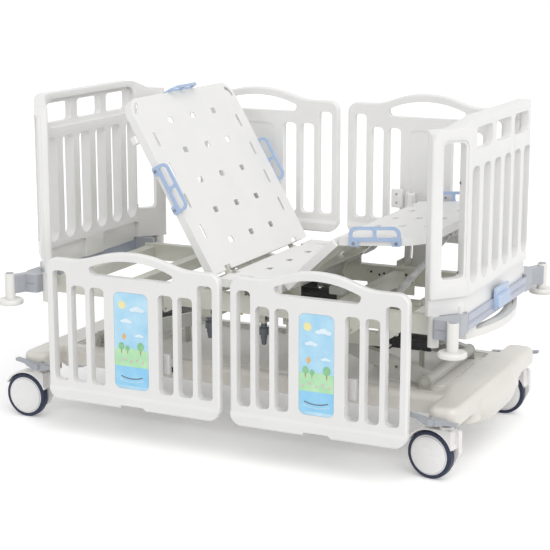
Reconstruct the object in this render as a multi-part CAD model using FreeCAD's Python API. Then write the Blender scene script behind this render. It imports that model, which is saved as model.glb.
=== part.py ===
import FreeCAD, Part
import math
import os

from FreeCAD import Vector

# Pediatric hospital cot.  Millimetres.  X runs from the head end to the foot end,
# Y from the near side to the far side, Z up from the floor.

# ---- clearances ----
FIT_GAP = 0.3            # radial gap of every turning pin, rod and roller
SEAT_GAP = 0.3           # gap under a piece that lifts off its seat
SWING_GAP = 1.0          # side gap of a link beside its lug

# ---- castors ----
WHEEL_RADIUS = 75.0
WHEEL_WIDTH = 28.0
TYRE_DEPTH = 12.0
CASTOR_X = 727.0         # stem centre from the middle of the cot
CASTOR_Y = 366.0
CASTOR_TRAIL = 48.0
CASTOR_TOP = 172.0       # top face of the castor housing
STEM_RADIUS = 11.0
STEM_LENGTH = 33.0
HOOD_GAP = 4.0
HOOD_WALL = 6.0
HOOD_SEAT = 14.0         # how far the hood runs onto the side cover
COVER_RADIUS = 58.0
COVER_WALL = 26.0
AXLE_RADIUS = 8.0
CASTOR_REST = {"near_head": 0.0, "near_foot": -10.0, "far_head": 4.0, "far_foot": 0.0}

# ---- base ----
BASE_END = 772.0         # half length of the moulded cover
BASE_HALF_WIDTH = 292.0
BASE_TOP = 236.0
BASE_SIDE_BOTTOM = 176.0
BASE_END_BOTTOM = 146.0
SKIRT_HALF_WIDTH = 262.0   # the end skirts stay clear of the turning castors
SKIRT_LENGTH = 62.0
BASE_WALL = 4.0
BASE_ROUNDING = 20.0
LOBE_HALF_WIDTH = 408.0
LOBE_LENGTH = 98.0
LOBE_BOTTOM = 184.0
SOCKET_RADIUS = 23.0
SOCKET_BOTTOM = 176.0
SOCKET_TOP = 231.0      # carries the underside of the cover
CHASSIS_Y = 215.0        # centre line of each long base tube
CHASSIS_TUBE = 30.0
CHASSIS_TOP = 218.0      # carries the tray
CHASSIS_DEPTH = 40.0
CROSS_TUBE = 44.0
TRAY_HALF_LENGTH = 662.0
TRAY_HALF_WIDTH = 248.0
TRAY_TOP = 222.0
TRAY_GAP = 1.5
PAN_RISE = 4.0

# ---- brake pedals ----
BRAKE_X = 697.0          # cross shafts of the pedals, from the middle of the cot
BRAKE_Z = 196.0
PEDAL_Y = 421.0
PEDAL_WIDTH = 20.0
PEDAL_THICK = 9.0
PEDAL_HUB = 13.0
PEDAL_REACH = 82.0
BRAKE_SHAFT_RADIUS = 6.0

# ---- lift ----
LIFT_X = 600.0           # base pivots from the middle of the cot
LIFT_Z = 250.0
LIFT_LENGTH = 440.0
LIFT_RISE = 121.28       # from the arms' base pivots up to their far ones, as built
LIFT_REST = math.degrees(math.asin(LIFT_RISE / LIFT_LENGTH))
LIFT_LOW = 8.0
LIFT_HIGH = 50.0
ARM_Y = 175.0
ARM_WIDTH = 30.0
ARM_DEPTH = 44.0
ARM_LOW_RADIUS = 20.0
ARM_TOP_RADIUS = 15.0
ARM_PIN_RADIUS = 12.0
LUG_Y = 209.0
LUG_THICK = 10.0
LUG_EYE = 20.0
ROLLER_RADIUS = 17.0
ROLLER_WIDTH = 14.0
TRACK_WALL = 4.0
LIFT_LEVER = 55.0        # height of the lift rods above the base pivots

# ---- levers and actuators ----
LEVER_THICK = 8.0
LEVER_PIN_RADIUS = 6.0
LEVER_SLOT_GAP = 2.2     # the pin's side play in the lever's slot
LEVER_RIM = 6.5
LEVER_START = 31.0       # from the pivot to the centre of a lever's rounded root
FORK_DEPTH = 28.0
FORK_CHEEK = 5.0
FORK_HALF_HEIGHT = 12.0
ROD_RADIUS = 10.0
TUBE_RADIUS = 17.0
MOTOR_RADIUS = 24.0
MOTOR_LENGTH = 120.0
MOTOR_SPACING = 48.0     # motor beside its tube on the base
DECK_MOTOR_SPACING = 44.0  # motor below its tube under the deck
GEARBOX_LENGTH = 56.0
GEARBOX_HALF = 22.0
LIFT_REAR = 355.0        # posts under each lift actuator, from the middle of the cot
LIFT_SADDLE = 510.0
LIFT_MOUTH_GAP = 9.9     # fork to tube mouth with the rod drawn in

# ---- mattress frame ----
DECK_TOP = 546.0
DECK_THICK = 26.0
DECK_WALL = 4.0
DECK_HALF_WIDTH = 355.0
FRAME_Y = 300.0
FRAME_WIDTH = 30.0
FRAME_TOP = 490.0
FRAME_DEPTH = 60.0
FRAME_END = 690.0
CROSS_WIDTH = 40.0
CROSS_DEPTH = 40.0
CROSS_TOP = 480.0
CROSS_X = (-668.0, -430.0, -LIFT_X + LIFT_LENGTH * math.cos(math.radians(LIFT_REST)), 320.0, 668.0)
LOW_CROSS_X = 490.0      # dropped cross tube that the calf strut folds over
LOW_CROSS_TOP = 436.0
SEAT_TUBES = (5.0, 115.0)

# ---- deck sections ----
BACK_HINGE_X = -65.0
BACK_LENGTH = 640.0
BACK_REST = 60.0         # angle above the frame as built
BACK_MAX = 66.0
BACK_GAP = 17.0          # from the hinge line to each panel's edge
THIGH_HINGE_X = 181.0
THIGH_LENGTH = 242.0
THIGH_REST = 43.5
THIGH_MAX = 46.0
THIGH_GAP = 8.0
CALF_LENGTH = 283.0
CALF_SHARE = 39.1 / 43.5   # how far the calf folds back for each degree of thigh
KNEE_GAP = 6.0
DECK_LEVER = 75.0        # depth of the deck rods below the hinges
BACK_ROD_Y = -60.0
KNEE_ROD_Y = 60.0
SUB_TUBE_Y = 224.0
SUB_TUBE_WIDTH = 30.0
SUB_TUBE_DEPTH = 20.0
KNUCKLE_Y = 250.0
KNUCKLE_RADIUS = 9.0
KNUCKLE_PIN = 5.0
HOLE_LENGTH = 20.0
HOLE_WIDTH = 30.0
HOLE_COLUMNS = (-150.0, 0.0, 150.0)
EDGE_SLOT_Y = 290.0
EDGE_SLOT_LENGTH = 52.0
EDGE_SLOT_WIDTH = 13.0
BACK_ROWS = (106.0, 216.0, 326.0, 436.0, 546.0)
BACK_EDGE_ROWS = (161.0, 271.0, 381.0, 491.0)
CALF_ROWS = (55.0, 137.0, 219.0)
BACK_CORNER = 62.0
CALF_CORNER = 90.0

# ---- calf strut ----
STRUT_X = 400.0
STRUT_Z = 440.0
STRUT_CALF = 242.0       # knee to the strut's upper pin, along the calf
STRUT_DROP = 30.0        # the upper pin below the calf's mid-plane
STRUT_RADIUS = 11.0
STRUT_ROD_RADIUS = 8.5
STRUT_PLAY = 3.5         # radial play of the upper pin in its eye
STRUT_EYE_DROP = 1.05    # centre of the wide eye below the pin as built

# ---- head and foot boards ----
BOARD_FACE = 762.0       # outer face above the ridge
BOARD_THICK = 36.0
BOARD_STEP = 9.0         # the face below the ridge is set back by this
BOARD_RIDGE = 560.0
BOARD_BEND = 303.0       # where the wings start, from the centre line
BEND_RADIUS = 66.0
WING_ANGLE = 39.0
WING_LENGTH = 132.0      # to the strip along the wing's edge
WING_STRIP = 6.0
STRIP_LOW = 551.0
STRIP_HIGH = 1032.0
BOARD_BOTTOM = 508.0
BOARD_LIP = 498.6
BOARD_LIP_Y = 280.0
BOARD_TOP = 1090.0
WING_TOP = 1058.0
WING_TOP_RADIUS = 33.0
SLAT_GAP = 66.0          # width of the upright slots
SLAT_PITCH = 103.0
SLAT_LOW = 588.0
SLAT_HIGH = 942.0
SLAT_CORNER = 20.0
WINDOW_WIDTH = 150.0
WINDOW_PITCH = 187.0
WINDOW_LOW = 990.0
WINDOW_HIGH = 1056.0
WINDOW_CORNER = 16.0
TROUGH_HALF = 284.0      # recess that joins the windows on the bed side
TROUGH_LOW = 974.0
TROUGH_HIGH = 1070.0
TROUGH_DEPTH = 12.0
POCKET_NEAR = 56.0       # recesses beside the middle rib, low on the bed side
POCKET_FAR = 296.0
POCKET_TOP = 568.0
POCKET_DEPTH = 9.0
WING_SLOT_AT = 55.0      # from the bend
WING_SLOT_WIDTH = 76.0
WING_SLOT_LOW = 615.0
WING_SLOT_HIGH = 1018.0
WING_SLOT_CORNER = 14.0
WING_SLOT_BEVEL = 8.0
DOWEL_RADIUS = 10.0
DOWEL_DEPTH = 50.0
DOWEL_Y = 310.0

# ---- end rails, corners and bumpers ----
END_RAIL_FACE = 763.0
END_RAIL_DEPTH = 25.0
END_RAIL_LOW = 452.0
END_RAIL_HIGH = 498.0
END_RAIL_HALF = 298.0
CORNER_LOW = 447.0
CORNER_HIGH = 507.0
CORNER_OUT_Y = 420.0
BUMPER_X = 770.0
BUMPER_RADIUS = 43.0
BUMPER_LOW = 411.0
BUMPER_HIGH = 429.0
POST_RADIUS = 17.0
POST_TOP = 514.0
BOARD_POST_X = 680.0     # under the board's wing
BOARD_POST_Y = 374.0
BOARD_POST_LOW = 412.0
GRIP_LOW = 412.0
GRIP_HIGH = 450.0
GRIP_MIDDLE = 436.0      # top of the bow between its raised ends
GRIP_END = 44.0
GRIP_WALL = 14.0
GRIP_HALF = 255.0
GRIP_BULGE = 52.0
LATCH_Y = 10.0
LATCH_HALF = 66.0
LATCH_LOW = 462.0
LATCH_HIGH = 531.0
LATCH_WALL = 8.0
LATCH_BULGE = 9.0
LATCH_NOSE = 8.0         # height of the nose behind the flap
LATCH_NOSE_GAP = 2.3     # from the nose to the board

# ---- side rails ----
RAIL_THICK = 28.0
RAIL_HEIGHT = 510.0
RAIL_RAISED_BOTTOM = 563.0
RAIL_RAISED_Y = 415.0    # inner face when raised
RAIL_DROP = 443.0
RAIL_OUT = 55.0          # how far a lowered rail stands further out
RAIL_HEAD = (-600.0, 29.0)
RAIL_FOOT = (65.0, 649.0)
RAIL_SHOULDER = 472.0
RAIL_BAR = 17.0          # bars between the slots
SLOT_CORNER = 15.0
RAIL_MARGIN = 24.0       # from a rail's end to its first slot
PICTURE_SHARE = 0.198    # picture recess and its bars, as shares of the rail's length
PICTURE_BAR_SHARE = 0.0585
PICTURE_LOW = 68.0
PICTURE_HIGH = 384.0
PICTURE_DEPTH = 2.0
PICTURE_CORNER = 20.0
SLOT_LOW = 66.0
SLOT_HIGH = 388.0
SLOT_HIGH_OUTER = 432.0
HANDLE_SHARE = 0.2415    # half of the grip opening, as a share of the rail's length
HANDLE_CORNER = 7.0      # straight left beside each end of the bowed edge
HANDLE_LOW = 428.0
HANDLE_END = 453.0
HANDLE_HIGH = 482.0
BAND_HEIGHT = 46.0
BAND_SWELL = 4.0
BAND_RAMP = 14.0         # the band fades into the panel over this height
GROOVE_HEIGHT = 34.0
NOTCH_HALF = 43.0
NOTCH_HEIGHT = 12.0
NOTCH_SLOPE = 16.0
LINK_TOP_Z = 722.0       # upper rail pivot when raised
LINK_SPACING = 60.0
LINK_INSET = 47.9        # frame pivots inboard of the chord of the swing
LINK_RAIL_Y = 403.0
LINK_RADIUS = 11.0
LINK_PIN = 6.0
LINK_PLATE = 6.0
LINK_IN = 32.0           # centres of the lug plates from the rail's middle
LINK_OUT = 60.0

# ---- mattress retainers ----
RETAINER_LENGTH = 166.0
RETAINER_HEIGHT = 60.0
RETAINER_WALL = 10.0
RETAINER_THICK = 7.0
CALF_RETAINER_AT = 128.0
BACK_RETAINER_AT = 325.0

# ---- release knob ----
KNOB_X = -60.0
KNOB_Y = -200.0
KNOB_Z = 414.0
KNOB_RADIUS = 14.0

BUMPER_Y = RAIL_RAISED_Y + RAIL_OUT + RAIL_THICK + BAND_SWELL - BUMPER_RADIUS

# The head castors trail past the bumpers, so this puts the middle of the whole cot on X = 0.
ORIGIN_SHIFT = (CASTOR_X + CASTOR_TRAIL + WHEEL_RADIUS - BUMPER_X - BUMPER_RADIUS) / 2.0

X_AXIS = Vector(1, 0, 0)
Y_AXIS = Vector(0, 1, 0)
Z_AXIS = Vector(0, 0, 1)
ORIGIN = Vector(0, 0, 0)

os.makedirs("parts", exist_ok=True)


def save(name, shape):
    """Write one sub-part, moved so that the origin is on the floor under the cot's middle."""
    placed = shape.copy()
    placed.translate(Vector(ORIGIN_SHIFT, 0, 0))
    placed.exportStep("parts/%s.step" % name)


def block(x0, x1, y0, y1, z0, z1):
    """A box between two corners."""
    return Part.makeBox(x1 - x0, y1 - y0, z1 - z0, Vector(x0, y0, z0))


def drum(axis, radius, centre, length):
    """A cylinder about its middle."""
    start = Vector(*centre) - axis * (length / 2.0)
    return Part.makeCylinder(radius, length, start, axis)


def spot(plane, a, b, depth=0.0):
    """A point of a drawing plane: xz, yz or xy."""
    if plane == "xz":
        return Vector(a, depth, b)
    if plane == "yz":
        return Vector(depth, a, b)
    return Vector(a, b, depth)


def normal(plane):
    return {"xz": Y_AXIS, "yz": X_AXIS, "xy": Z_AXIS}[plane]


def prism(plane, points, low, high):
    """A polygon pushed from low to high across its plane."""
    corners = [spot(plane, a, b, low) for a, b in points]
    face = Part.Face(Part.makePolygon(corners + corners[:1]))
    return face.extrude(normal(plane) * (high - low))


def rounded(plane, points, radii, low, high):
    """A polygon with an arc of its own radius at each corner, as a solid."""
    count = len(points)
    starts = []
    ends = []
    edges = []
    for i in range(count):
        here = spot(plane, *points[i], low)
        back = spot(plane, *points[i - 1], low) - here
        ahead = spot(plane, *points[(i + 1) % count], low) - here
        back.normalize()
        ahead.normalize()
        if radii[i] <= 0:
            starts.append(here)
            ends.append(here)
            edges.append(None)
            continue
        half = math.acos(max(-1.0, min(1.0, back.dot(ahead)))) / 2.0
        reach = radii[i] / math.tan(half)
        middle = back + ahead
        middle.normalize()
        start = here + back * reach
        end = here + ahead * reach
        crown = here + middle * (radii[i] / math.sin(half) - radii[i])
        starts.append(start)
        ends.append(end)
        edges.append(Part.Arc(start, crown, end).toShape())
    outline = []
    for i in range(count):
        if edges[i] is not None:
            outline.append(edges[i])
        following = starts[(i + 1) % count]
        if ends[i].distanceToPoint(following) > 1e-6:
            outline.append(Part.LineSegment(ends[i], following).toShape())
    return Part.Face(Part.Wire(outline)).extrude(normal(plane) * (high - low))


def frame_block(plane, a0, a1, b0, b1, radius, low, high):
    """A rectangle with equal rounded corners, as a solid."""
    return rounded(plane, [(a0, b0), (a1, b0), (a1, b1), (a0, b1)], [radius] * 4, low, high)


def stadium(plane, a0, b0, a1, b1, radius, low, high):
    """Two equal circles joined by their tangents."""
    along = Vector(a1 - a0, b1 - b0, 0)
    along.normalize()
    side = (-along.y * radius, along.x * radius)
    tip = (along.x * radius, along.y * radius)
    first = [spot(plane, a0 + side[0], b0 + side[1], low), spot(plane, a1 + side[0], b1 + side[1], low)]
    second = [spot(plane, a1 - side[0], b1 - side[1], low), spot(plane, a0 - side[0], b0 - side[1], low)]
    nose = spot(plane, a1 + tip[0], b1 + tip[1], low)
    tail = spot(plane, a0 - tip[0], b0 - tip[1], low)
    wire = Part.Wire([Part.LineSegment(*first).toShape(), Part.Arc(first[1], nose, second[0]).toShape(),
                      Part.LineSegment(*second).toShape(), Part.Arc(second[1], tail, first[0]).toShape()])
    return Part.Face(wire).extrude(normal(plane) * (high - low))


def flip_y(shape):
    return shape.mirror(ORIGIN, Y_AXIS)


def flip_x(shape):
    return shape.mirror(ORIGIN, X_AXIS)


def single(shape):
    """The solid itself when a shape holds only one."""
    return shape.Solids[0] if len(shape.Solids) == 1 else shape


def joined(shapes):
    """One solid from touching pieces."""
    whole = shapes[0].multiFuse(shapes[1:]) if len(shapes) > 1 else shapes[0]
    return single(whole.removeSplitter())


def group(shapes):
    """Separate solids of one node."""
    return Part.makeCompound(shapes)


def cut(shape, tools):
    return single(shape.cut(tools))


def eased(shape, radius, wanted):
    """Round the edges that the test picks."""
    return single(shape.makeFillet(radius, [edge for edge in shape.Edges if wanted(edge)]))


def circular(edge):
    return edge.Curve.TypeId == "Part::GeomCircle"


def turned(shape, x, z, degrees):
    """Turn about a Y axis; positive lifts the head side."""
    copy = shape.copy()
    copy.rotate(Vector(x, 0, z), Y_AXIS, degrees)
    return copy


# ================================================================ castors

def castor_frame(shape, x, y, rest):
    """Place a castor piece that was drawn with its stem on the Z axis."""
    copy = shape.copy()
    copy.rotate(ORIGIN, Z_AXIS, rest)
    copy.translate(Vector(x, y, 0))
    return copy


def castor_tyre():
    ring = drum(Y_AXIS, WHEEL_RADIUS, (-CASTOR_TRAIL, -8, WHEEL_RADIUS), WHEEL_WIDTH)
    ring = eased(ring, 7.0, circular)
    inside = drum(Y_AXIS, WHEEL_RADIUS - TYRE_DEPTH, (-CASTOR_TRAIL, -8, WHEEL_RADIUS), WHEEL_WIDTH + 2)
    return ring.cut(inside)


def castor_wheel():
    """The flat wheel disc with its blind bore for the axle."""
    disc = drum(Y_AXIS, WHEEL_RADIUS - TYRE_DEPTH, (-CASTOR_TRAIL, -8, WHEEL_RADIUS), WHEEL_WIDTH - 3)
    hub = drum(Y_AXIS, 20.0, (-CASTOR_TRAIL, 1.5, WHEEL_RADIUS), 12.0)
    bore = Part.makeCylinder(AXLE_RADIUS + FIT_GAP, 24.0, Vector(-CASTOR_TRAIL, -16, WHEEL_RADIUS), Y_AXIS)
    return joined([disc, hub]).cut(bore)


def castor_housing():
    """One-sided fork: side cover, mudguard hood, stem and axle."""
    wheel = (-CASTOR_TRAIL, WHEEL_RADIUS)
    side_low = 9.0
    side_high = side_low + COVER_WALL
    hood_low = -23.0
    inner = WHEEL_RADIUS + HOOD_GAP
    outer = inner + HOOD_WALL
    cover = drum(Y_AXIS, COVER_RADIUS, (wheel[0], (side_low + side_high) / 2, wheel[1]), COVER_WALL)
    cover = eased(cover, 7.0, lambda edge: circular(edge) and edge.BoundBox.YMin > side_high - 0.01)
    cheek = rounded("xz", [(-104, 92), (-92, 128), (-58, 158), (36, 158), (38, 84), (16, 40), (-48, 20), (-90, 60)],
                    [10, 20, 20, 12, 30, 24, 20, 20], side_low, side_high)
    cheek = eased(cheek, 7.0, lambda edge: edge.BoundBox.YMin > side_high - 0.01)
    hood_high = side_low + HOOD_SEAT
    neck = rounded("xz", [(-66, 120), (26, 120), (26, CASTOR_TOP - 8), (-66, CASTOR_TOP - 14)], [0, 0, 8, 4],
                   hood_low, hood_high)
    hood = drum(Y_AXIS, outer, (wheel[0], (hood_low + hood_high) / 2, wheel[1]), hood_high - hood_low)
    sector = prism("xz", [wheel, (-150, 128), (-150, 200), (80, 200), (80, 122)], hood_low, hood_high)
    hood = hood.common(sector)
    room = drum(Y_AXIS, inner, (wheel[0], (hood_low - 2 + side_low) / 2, wheel[1]), side_low - hood_low + 2)
    seat = drum(Z_AXIS, 23.0, (0, 0, (150 + CASTOR_TOP) / 2), CASTOR_TOP - 150)
    body = joined([cover, cheek, neck, hood, seat]).cut(room)
    stem = Part.makeCylinder(STEM_RADIUS, STEM_LENGTH, Vector(0, 0, CASTOR_TOP), Z_AXIS)
    axle = Part.makeCylinder(AXLE_RADIUS, 23.0, Vector(wheel[0], side_low - 23.0, wheel[1]), Y_AXIS)
    return joined([body, stem, axle])


# ================================================================ base

def base_frame():
    """Welded H frame: long tubes, end tubes with castor sockets, lift lugs, actuator posts."""
    pieces = []
    low = CHASSIS_TOP - CHASSIS_DEPTH
    for side in (-1, 1):
        y = side * CHASSIS_Y
        pieces.append(block(-CASTOR_X, CASTOR_X, y - CHASSIS_TUBE / 2, y + CHASSIS_TUBE / 2, low, CHASSIS_TOP))
    for end in (-1, 1):
        x = end * CASTOR_X
        pieces.append(block(x - CROSS_TUBE / 2, x + CROSS_TUBE / 2, -CASTOR_Y, CASTOR_Y, low, CHASSIS_TOP))
        for side in (-1, 1):
            middle = (SOCKET_BOTTOM + SOCKET_TOP) / 2
            pieces.append(drum(Z_AXIS, SOCKET_RADIUS, (x, side * CASTOR_Y, middle), SOCKET_TOP - SOCKET_BOTTOM))
            y = side * LUG_Y
            lug = rounded("xz", [(end * LIFT_X - LUG_EYE, low), (end * LIFT_X + LUG_EYE, low),
                                 (end * LIFT_X + LUG_EYE, LIFT_Z + LUG_EYE),
                                 (end * LIFT_X - LUG_EYE, LIFT_Z + LUG_EYE)],
                          [0, 0, LUG_EYE - 0.1, LUG_EYE - 0.1], y - LUG_THICK / 2, y + LUG_THICK / 2)
            pieces.append(lug)
        rod_z = LIFT_Z + LIFT_LEVER
        for near, height in ((LIFT_REAR, rod_z - GEARBOX_HALF), (LIFT_SADDLE, rod_z - 8)):
            pieces.append(block(end * near - 15, end * near + 15, -CHASSIS_Y, CHASSIS_Y, low, CHASSIS_TOP))
            pieces.append(block(end * near - 5, end * near + 5, -12, 12, CHASSIS_TOP - 2, height))
    body = joined(pieces)
    tools = []
    for end in (-1, 1):
        for side in (-1, 1):
            tools.append(Part.makeCylinder(STEM_RADIUS + FIT_GAP, STEM_LENGTH + 8,
                                           Vector(end * CASTOR_X, side * CASTOR_Y, CASTOR_TOP), Z_AXIS))
        tools.append(drum(Y_AXIS, ARM_PIN_RADIUS + FIT_GAP, (end * LIFT_X, 0, LIFT_Z), 2 * LUG_Y + 40))
        tools.append(drum(Y_AXIS, BRAKE_SHAFT_RADIUS + FIT_GAP, (end * BRAKE_X, 0, BRAKE_Z), 900))
        tools.append(drum(X_AXIS, TUBE_RADIUS, (end * LIFT_SADDLE, 0, LIFT_Z + LIFT_LEVER), 16))
    return cut(body, tools)


def base_solid(grow, top):
    """The cover's body with its end skirts and castor lobes, grown by a wall (or shrunk, below zero)."""
    half_x = BASE_END + grow
    half_y = BASE_HALF_WIDTH + grow
    drop = -1 if grow < 0 else 0
    pieces = [frame_block("xy", -half_x, half_x, -half_y, half_y, 60.0 + grow, BASE_SIDE_BOTTOM + drop, top),
              frame_block("xy", -half_x, half_x, -SKIRT_HALF_WIDTH - grow, SKIRT_HALF_WIDTH + grow, 52.0 + grow,
                          BASE_END_BOTTOM + drop, BASE_SIDE_BOTTOM + 10)]
    for end in (-1, 1):
        x0, x1 = sorted((end * (BASE_END - LOBE_LENGTH - grow), end * half_x))
        pieces.append(frame_block("xy", x0, x1, -LOBE_HALF_WIDTH - grow, LOBE_HALF_WIDTH + grow, 34.0 + grow,
                                  LOBE_BOTTOM + drop, top))
    return joined(pieces)


def base_cover():
    """Moulded shell, open below, with a skirt at each end and a lobe over each castor socket."""
    room_top = BASE_TOP - BASE_WALL - 1
    outer = base_solid(0.0, BASE_TOP)
    outer = eased(outer, BASE_ROUNDING, lambda edge: edge.BoundBox.ZMin > BASE_TOP - 0.01)
    room = base_solid(-BASE_WALL, room_top)
    room = eased(room, BASE_ROUNDING - BASE_WALL, lambda edge: edge.BoundBox.ZMin > room_top - 0.01)
    shell = outer.cut(room)
    tools = [block(-BASE_END + SKIRT_LENGTH, BASE_END - SKIRT_LENGTH, -400, 400, 100, BASE_SIDE_BOTTOM),
             frame_block("xy", -TRAY_HALF_LENGTH, TRAY_HALF_LENGTH, -TRAY_HALF_WIDTH, TRAY_HALF_WIDTH, 24.0,
                         BASE_TOP - 20, BASE_TOP + 5)]
    for end in (-1, 1):
        for side in (-1, 1):
            x = end * BRAKE_X
            y0, y1 = sorted((side * (LOBE_HALF_WIDTH - 10), side * (LOBE_HALF_WIDTH + 5)))
            tools.append(block(x - 10, x + 10, y0, y1, LOBE_BOTTOM - 20, BRAKE_Z + 10))
            x = end * CASTOR_X
            y0, y1 = sorted((side * (BASE_HALF_WIDTH - 20), side * (BASE_HALF_WIDTH + 10)))
            tools.append(block(x - 60, x + 60, y0, y1, BASE_END_BOTTOM, LOBE_BOTTOM))
    return cut(shell, tools)


def base_tray():
    """Drop-in tray with a raised pan at each end and wells for the lift lugs and posts."""
    half_x = TRAY_HALF_LENGTH - TRAY_GAP
    half_y = TRAY_HALF_WIDTH - TRAY_GAP
    floor = frame_block("xy", -half_x, half_x, -half_y, half_y, 22.5, CHASSIS_TOP, TRAY_TOP)
    rim = frame_block("xy", -half_x, half_x, -half_y, half_y, 22.5, TRAY_TOP, BASE_TOP - 3)
    rim = rim.cut(frame_block("xy", -half_x + 5, half_x - 5, -half_y + 5, half_y - 5, 17.5, TRAY_TOP, BASE_TOP))
    pieces = [floor, rim]
    for end in (-1, 1):
        x0, x1 = sorted((end * 440, end * 640))
        pieces.append(frame_block("xy", x0, x1, -150, 150, 16.0, TRAY_TOP, TRAY_TOP + PAN_RISE))
    wells = []
    for end in (-1, 1):
        for side in (-1, 1):
            wells.append(block(end * LIFT_X - LUG_EYE - 3, end * LIFT_X + LUG_EYE + 3, side * LUG_Y - LUG_THICK,
                               side * LUG_Y + LUG_THICK, 200, 260))
        for near in (LIFT_REAR, LIFT_SADDLE):
            wells.append(block(end * near - 8, end * near + 8, -16, 16, 200, 260))
    return cut(joined(pieces), wells)


def pedal(end, side):
    """Gull-wing foot pedal; the raised tip points to the head on the near side, to the foot on the far side."""
    x = end * BRAKE_X
    z = BRAKE_Z
    tip = side
    outline = [(x + tip * a, z + b) for a, b in
               ((-PEDAL_REACH, -6), (-52, -4), (-20, -11), (18, -11), (48, 6), (PEDAL_REACH, 12),
                (PEDAL_REACH, 12 + PEDAL_THICK), (44, 6 + PEDAL_THICK), (18, 10), (-20, 10),
                (-52, -4 + PEDAL_THICK), (-PEDAL_REACH, -6 + PEDAL_THICK))]
    y0, y1 = sorted((side * (PEDAL_Y - PEDAL_WIDTH / 2), side * (PEDAL_Y + PEDAL_WIDTH / 2)))
    body = prism("xz", outline, y0, y1)
    hub = drum(Y_AXIS, PEDAL_HUB, (x, side * PEDAL_Y, z), PEDAL_WIDTH + 6)
    return joined([body, hub])


# ================================================================ lift

def lever(x, z, y, reach, swing, lean, up):
    """Slotted lever plate on a pivot; lean is its tilt towards +X as built."""
    far = reach / math.cos(math.radians(swing)) + 3.0
    near = reach - 3.0
    half = LEVER_PIN_RADIUS + LEVER_SLOT_GAP
    sign = 1 if up else -1
    low = y - LEVER_THICK / 2
    high = y + LEVER_THICK / 2
    plate = stadium("xz", x, z + sign * LEVER_START, x, z + sign * far, half + LEVER_RIM, low, high)
    slot = stadium("xz", x, z + sign * near, x, z + sign * far, half, low - 1, high + 1)
    plate = plate.cut(slot)
    return turned(plate, x, z, lean if up else -lean)


def lift_arm(rollers):
    """Two box beams between a lower torque tube with its lever and an upper cross tube."""
    low_x = -LIFT_X
    top_x = low_x + LIFT_LENGTH * math.cos(math.radians(LIFT_REST))
    top_z = LIFT_Z + LIFT_LENGTH * math.sin(math.radians(LIFT_REST))
    pieces = [drum(Y_AXIS, ARM_LOW_RADIUS, (low_x, 0, LIFT_Z), 2 * (LUG_Y - LUG_THICK / 2 - SWING_GAP)),
              drum(Y_AXIS, ARM_TOP_RADIUS, (top_x, 0, top_z), 2 * (LUG_Y - LUG_THICK / 2 - SWING_GAP)),
              drum(Y_AXIS, ARM_PIN_RADIUS, (low_x, 0, LIFT_Z), 2 * (LUG_Y + LUG_THICK / 2 + 3)),
              drum(Y_AXIS, ARM_PIN_RADIUS, (top_x, 0, top_z), 2 * (LUG_Y + LUG_THICK / 2 + 3))]
    for side in (-1, 1):
        y = side * ARM_Y
        beam = block(low_x, low_x + LIFT_LENGTH, y - ARM_WIDTH / 2, y + ARM_WIDTH / 2,
                     LIFT_Z - ARM_DEPTH / 2, LIFT_Z + ARM_DEPTH / 2)
        holes = [drum(Y_AXIS, 5.0, (low_x + at, y, LIFT_Z), ARM_WIDTH + 2) for at in (110, 220, 330)]
        pieces.append(turned(beam.cut(holes), low_x, LIFT_Z, -LIFT_REST))
    middle = (LIFT_HIGH + LIFT_LOW) / 2
    swing = (LIFT_HIGH - LIFT_LOW) / 2
    pieces.append(lever(low_x, LIFT_Z, 0, LIFT_LEVER, swing, middle - LIFT_REST, True))
    pieces.append(block(low_x - 6, low_x + 6, -LEVER_THICK / 2, LEVER_THICK / 2, LIFT_Z + 10, LIFT_Z + 32))
    if rollers:
        for side in (-1, 1):
            pieces.append(drum(Y_AXIS, ROLLER_RADIUS, (top_x, side * LUG_Y, top_z), ROLLER_WIDTH))
    return joined(pieces)


def lift_pin_x():
    """Rest place of the head lift rod's pin."""
    lean = math.radians((LIFT_HIGH + LIFT_LOW) / 2 - LIFT_REST)
    return -LIFT_X + LIFT_LEVER * math.tan(lean)


def lift_mouth():
    """Distance of each lift tube's mouth from the middle, clear of the fork when the rod is drawn in."""
    swing = math.radians((LIFT_HIGH - LIFT_LOW) / 2)
    return LIFT_X - LIFT_LEVER * math.tan(swing) - FORK_DEPTH - LIFT_MOUTH_GAP


def push_rod(pin_x, y, z, toward, tail):
    """Actuator rod along X: fork and pin at the lever, tail inside the tube; toward is the fork's side."""
    base = pin_x - toward * FORK_DEPTH
    inner = LEVER_THICK / 2 + SWING_GAP
    pieces = []
    for side in (-1, 1):
        y0, y1 = sorted((y + side * inner, y + side * (inner + FORK_CHEEK)))
        x0, x1 = sorted((base, pin_x + toward * 10))
        pieces.append(block(x0, x1, y0, y1, z - FORK_HALF_HEIGHT, z + FORK_HALF_HEIGHT))
    x0, x1 = sorted((base - toward * 8, base))
    pieces.append(block(x0, x1, y - inner - FORK_CHEEK, y + inner + FORK_CHEEK, z - FORK_HALF_HEIGHT,
                        z + FORK_HALF_HEIGHT))
    pieces.append(drum(Y_AXIS, LEVER_PIN_RADIUS, (pin_x, y, z), 2 * (inner + FORK_CHEEK + 2)))
    x0, x1 = sorted((base - toward * 6, tail))
    pieces.append(Part.makeCylinder(ROD_RADIUS, x1 - x0, Vector(x0, y, z), X_AXIS))
    return joined(pieces)


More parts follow.
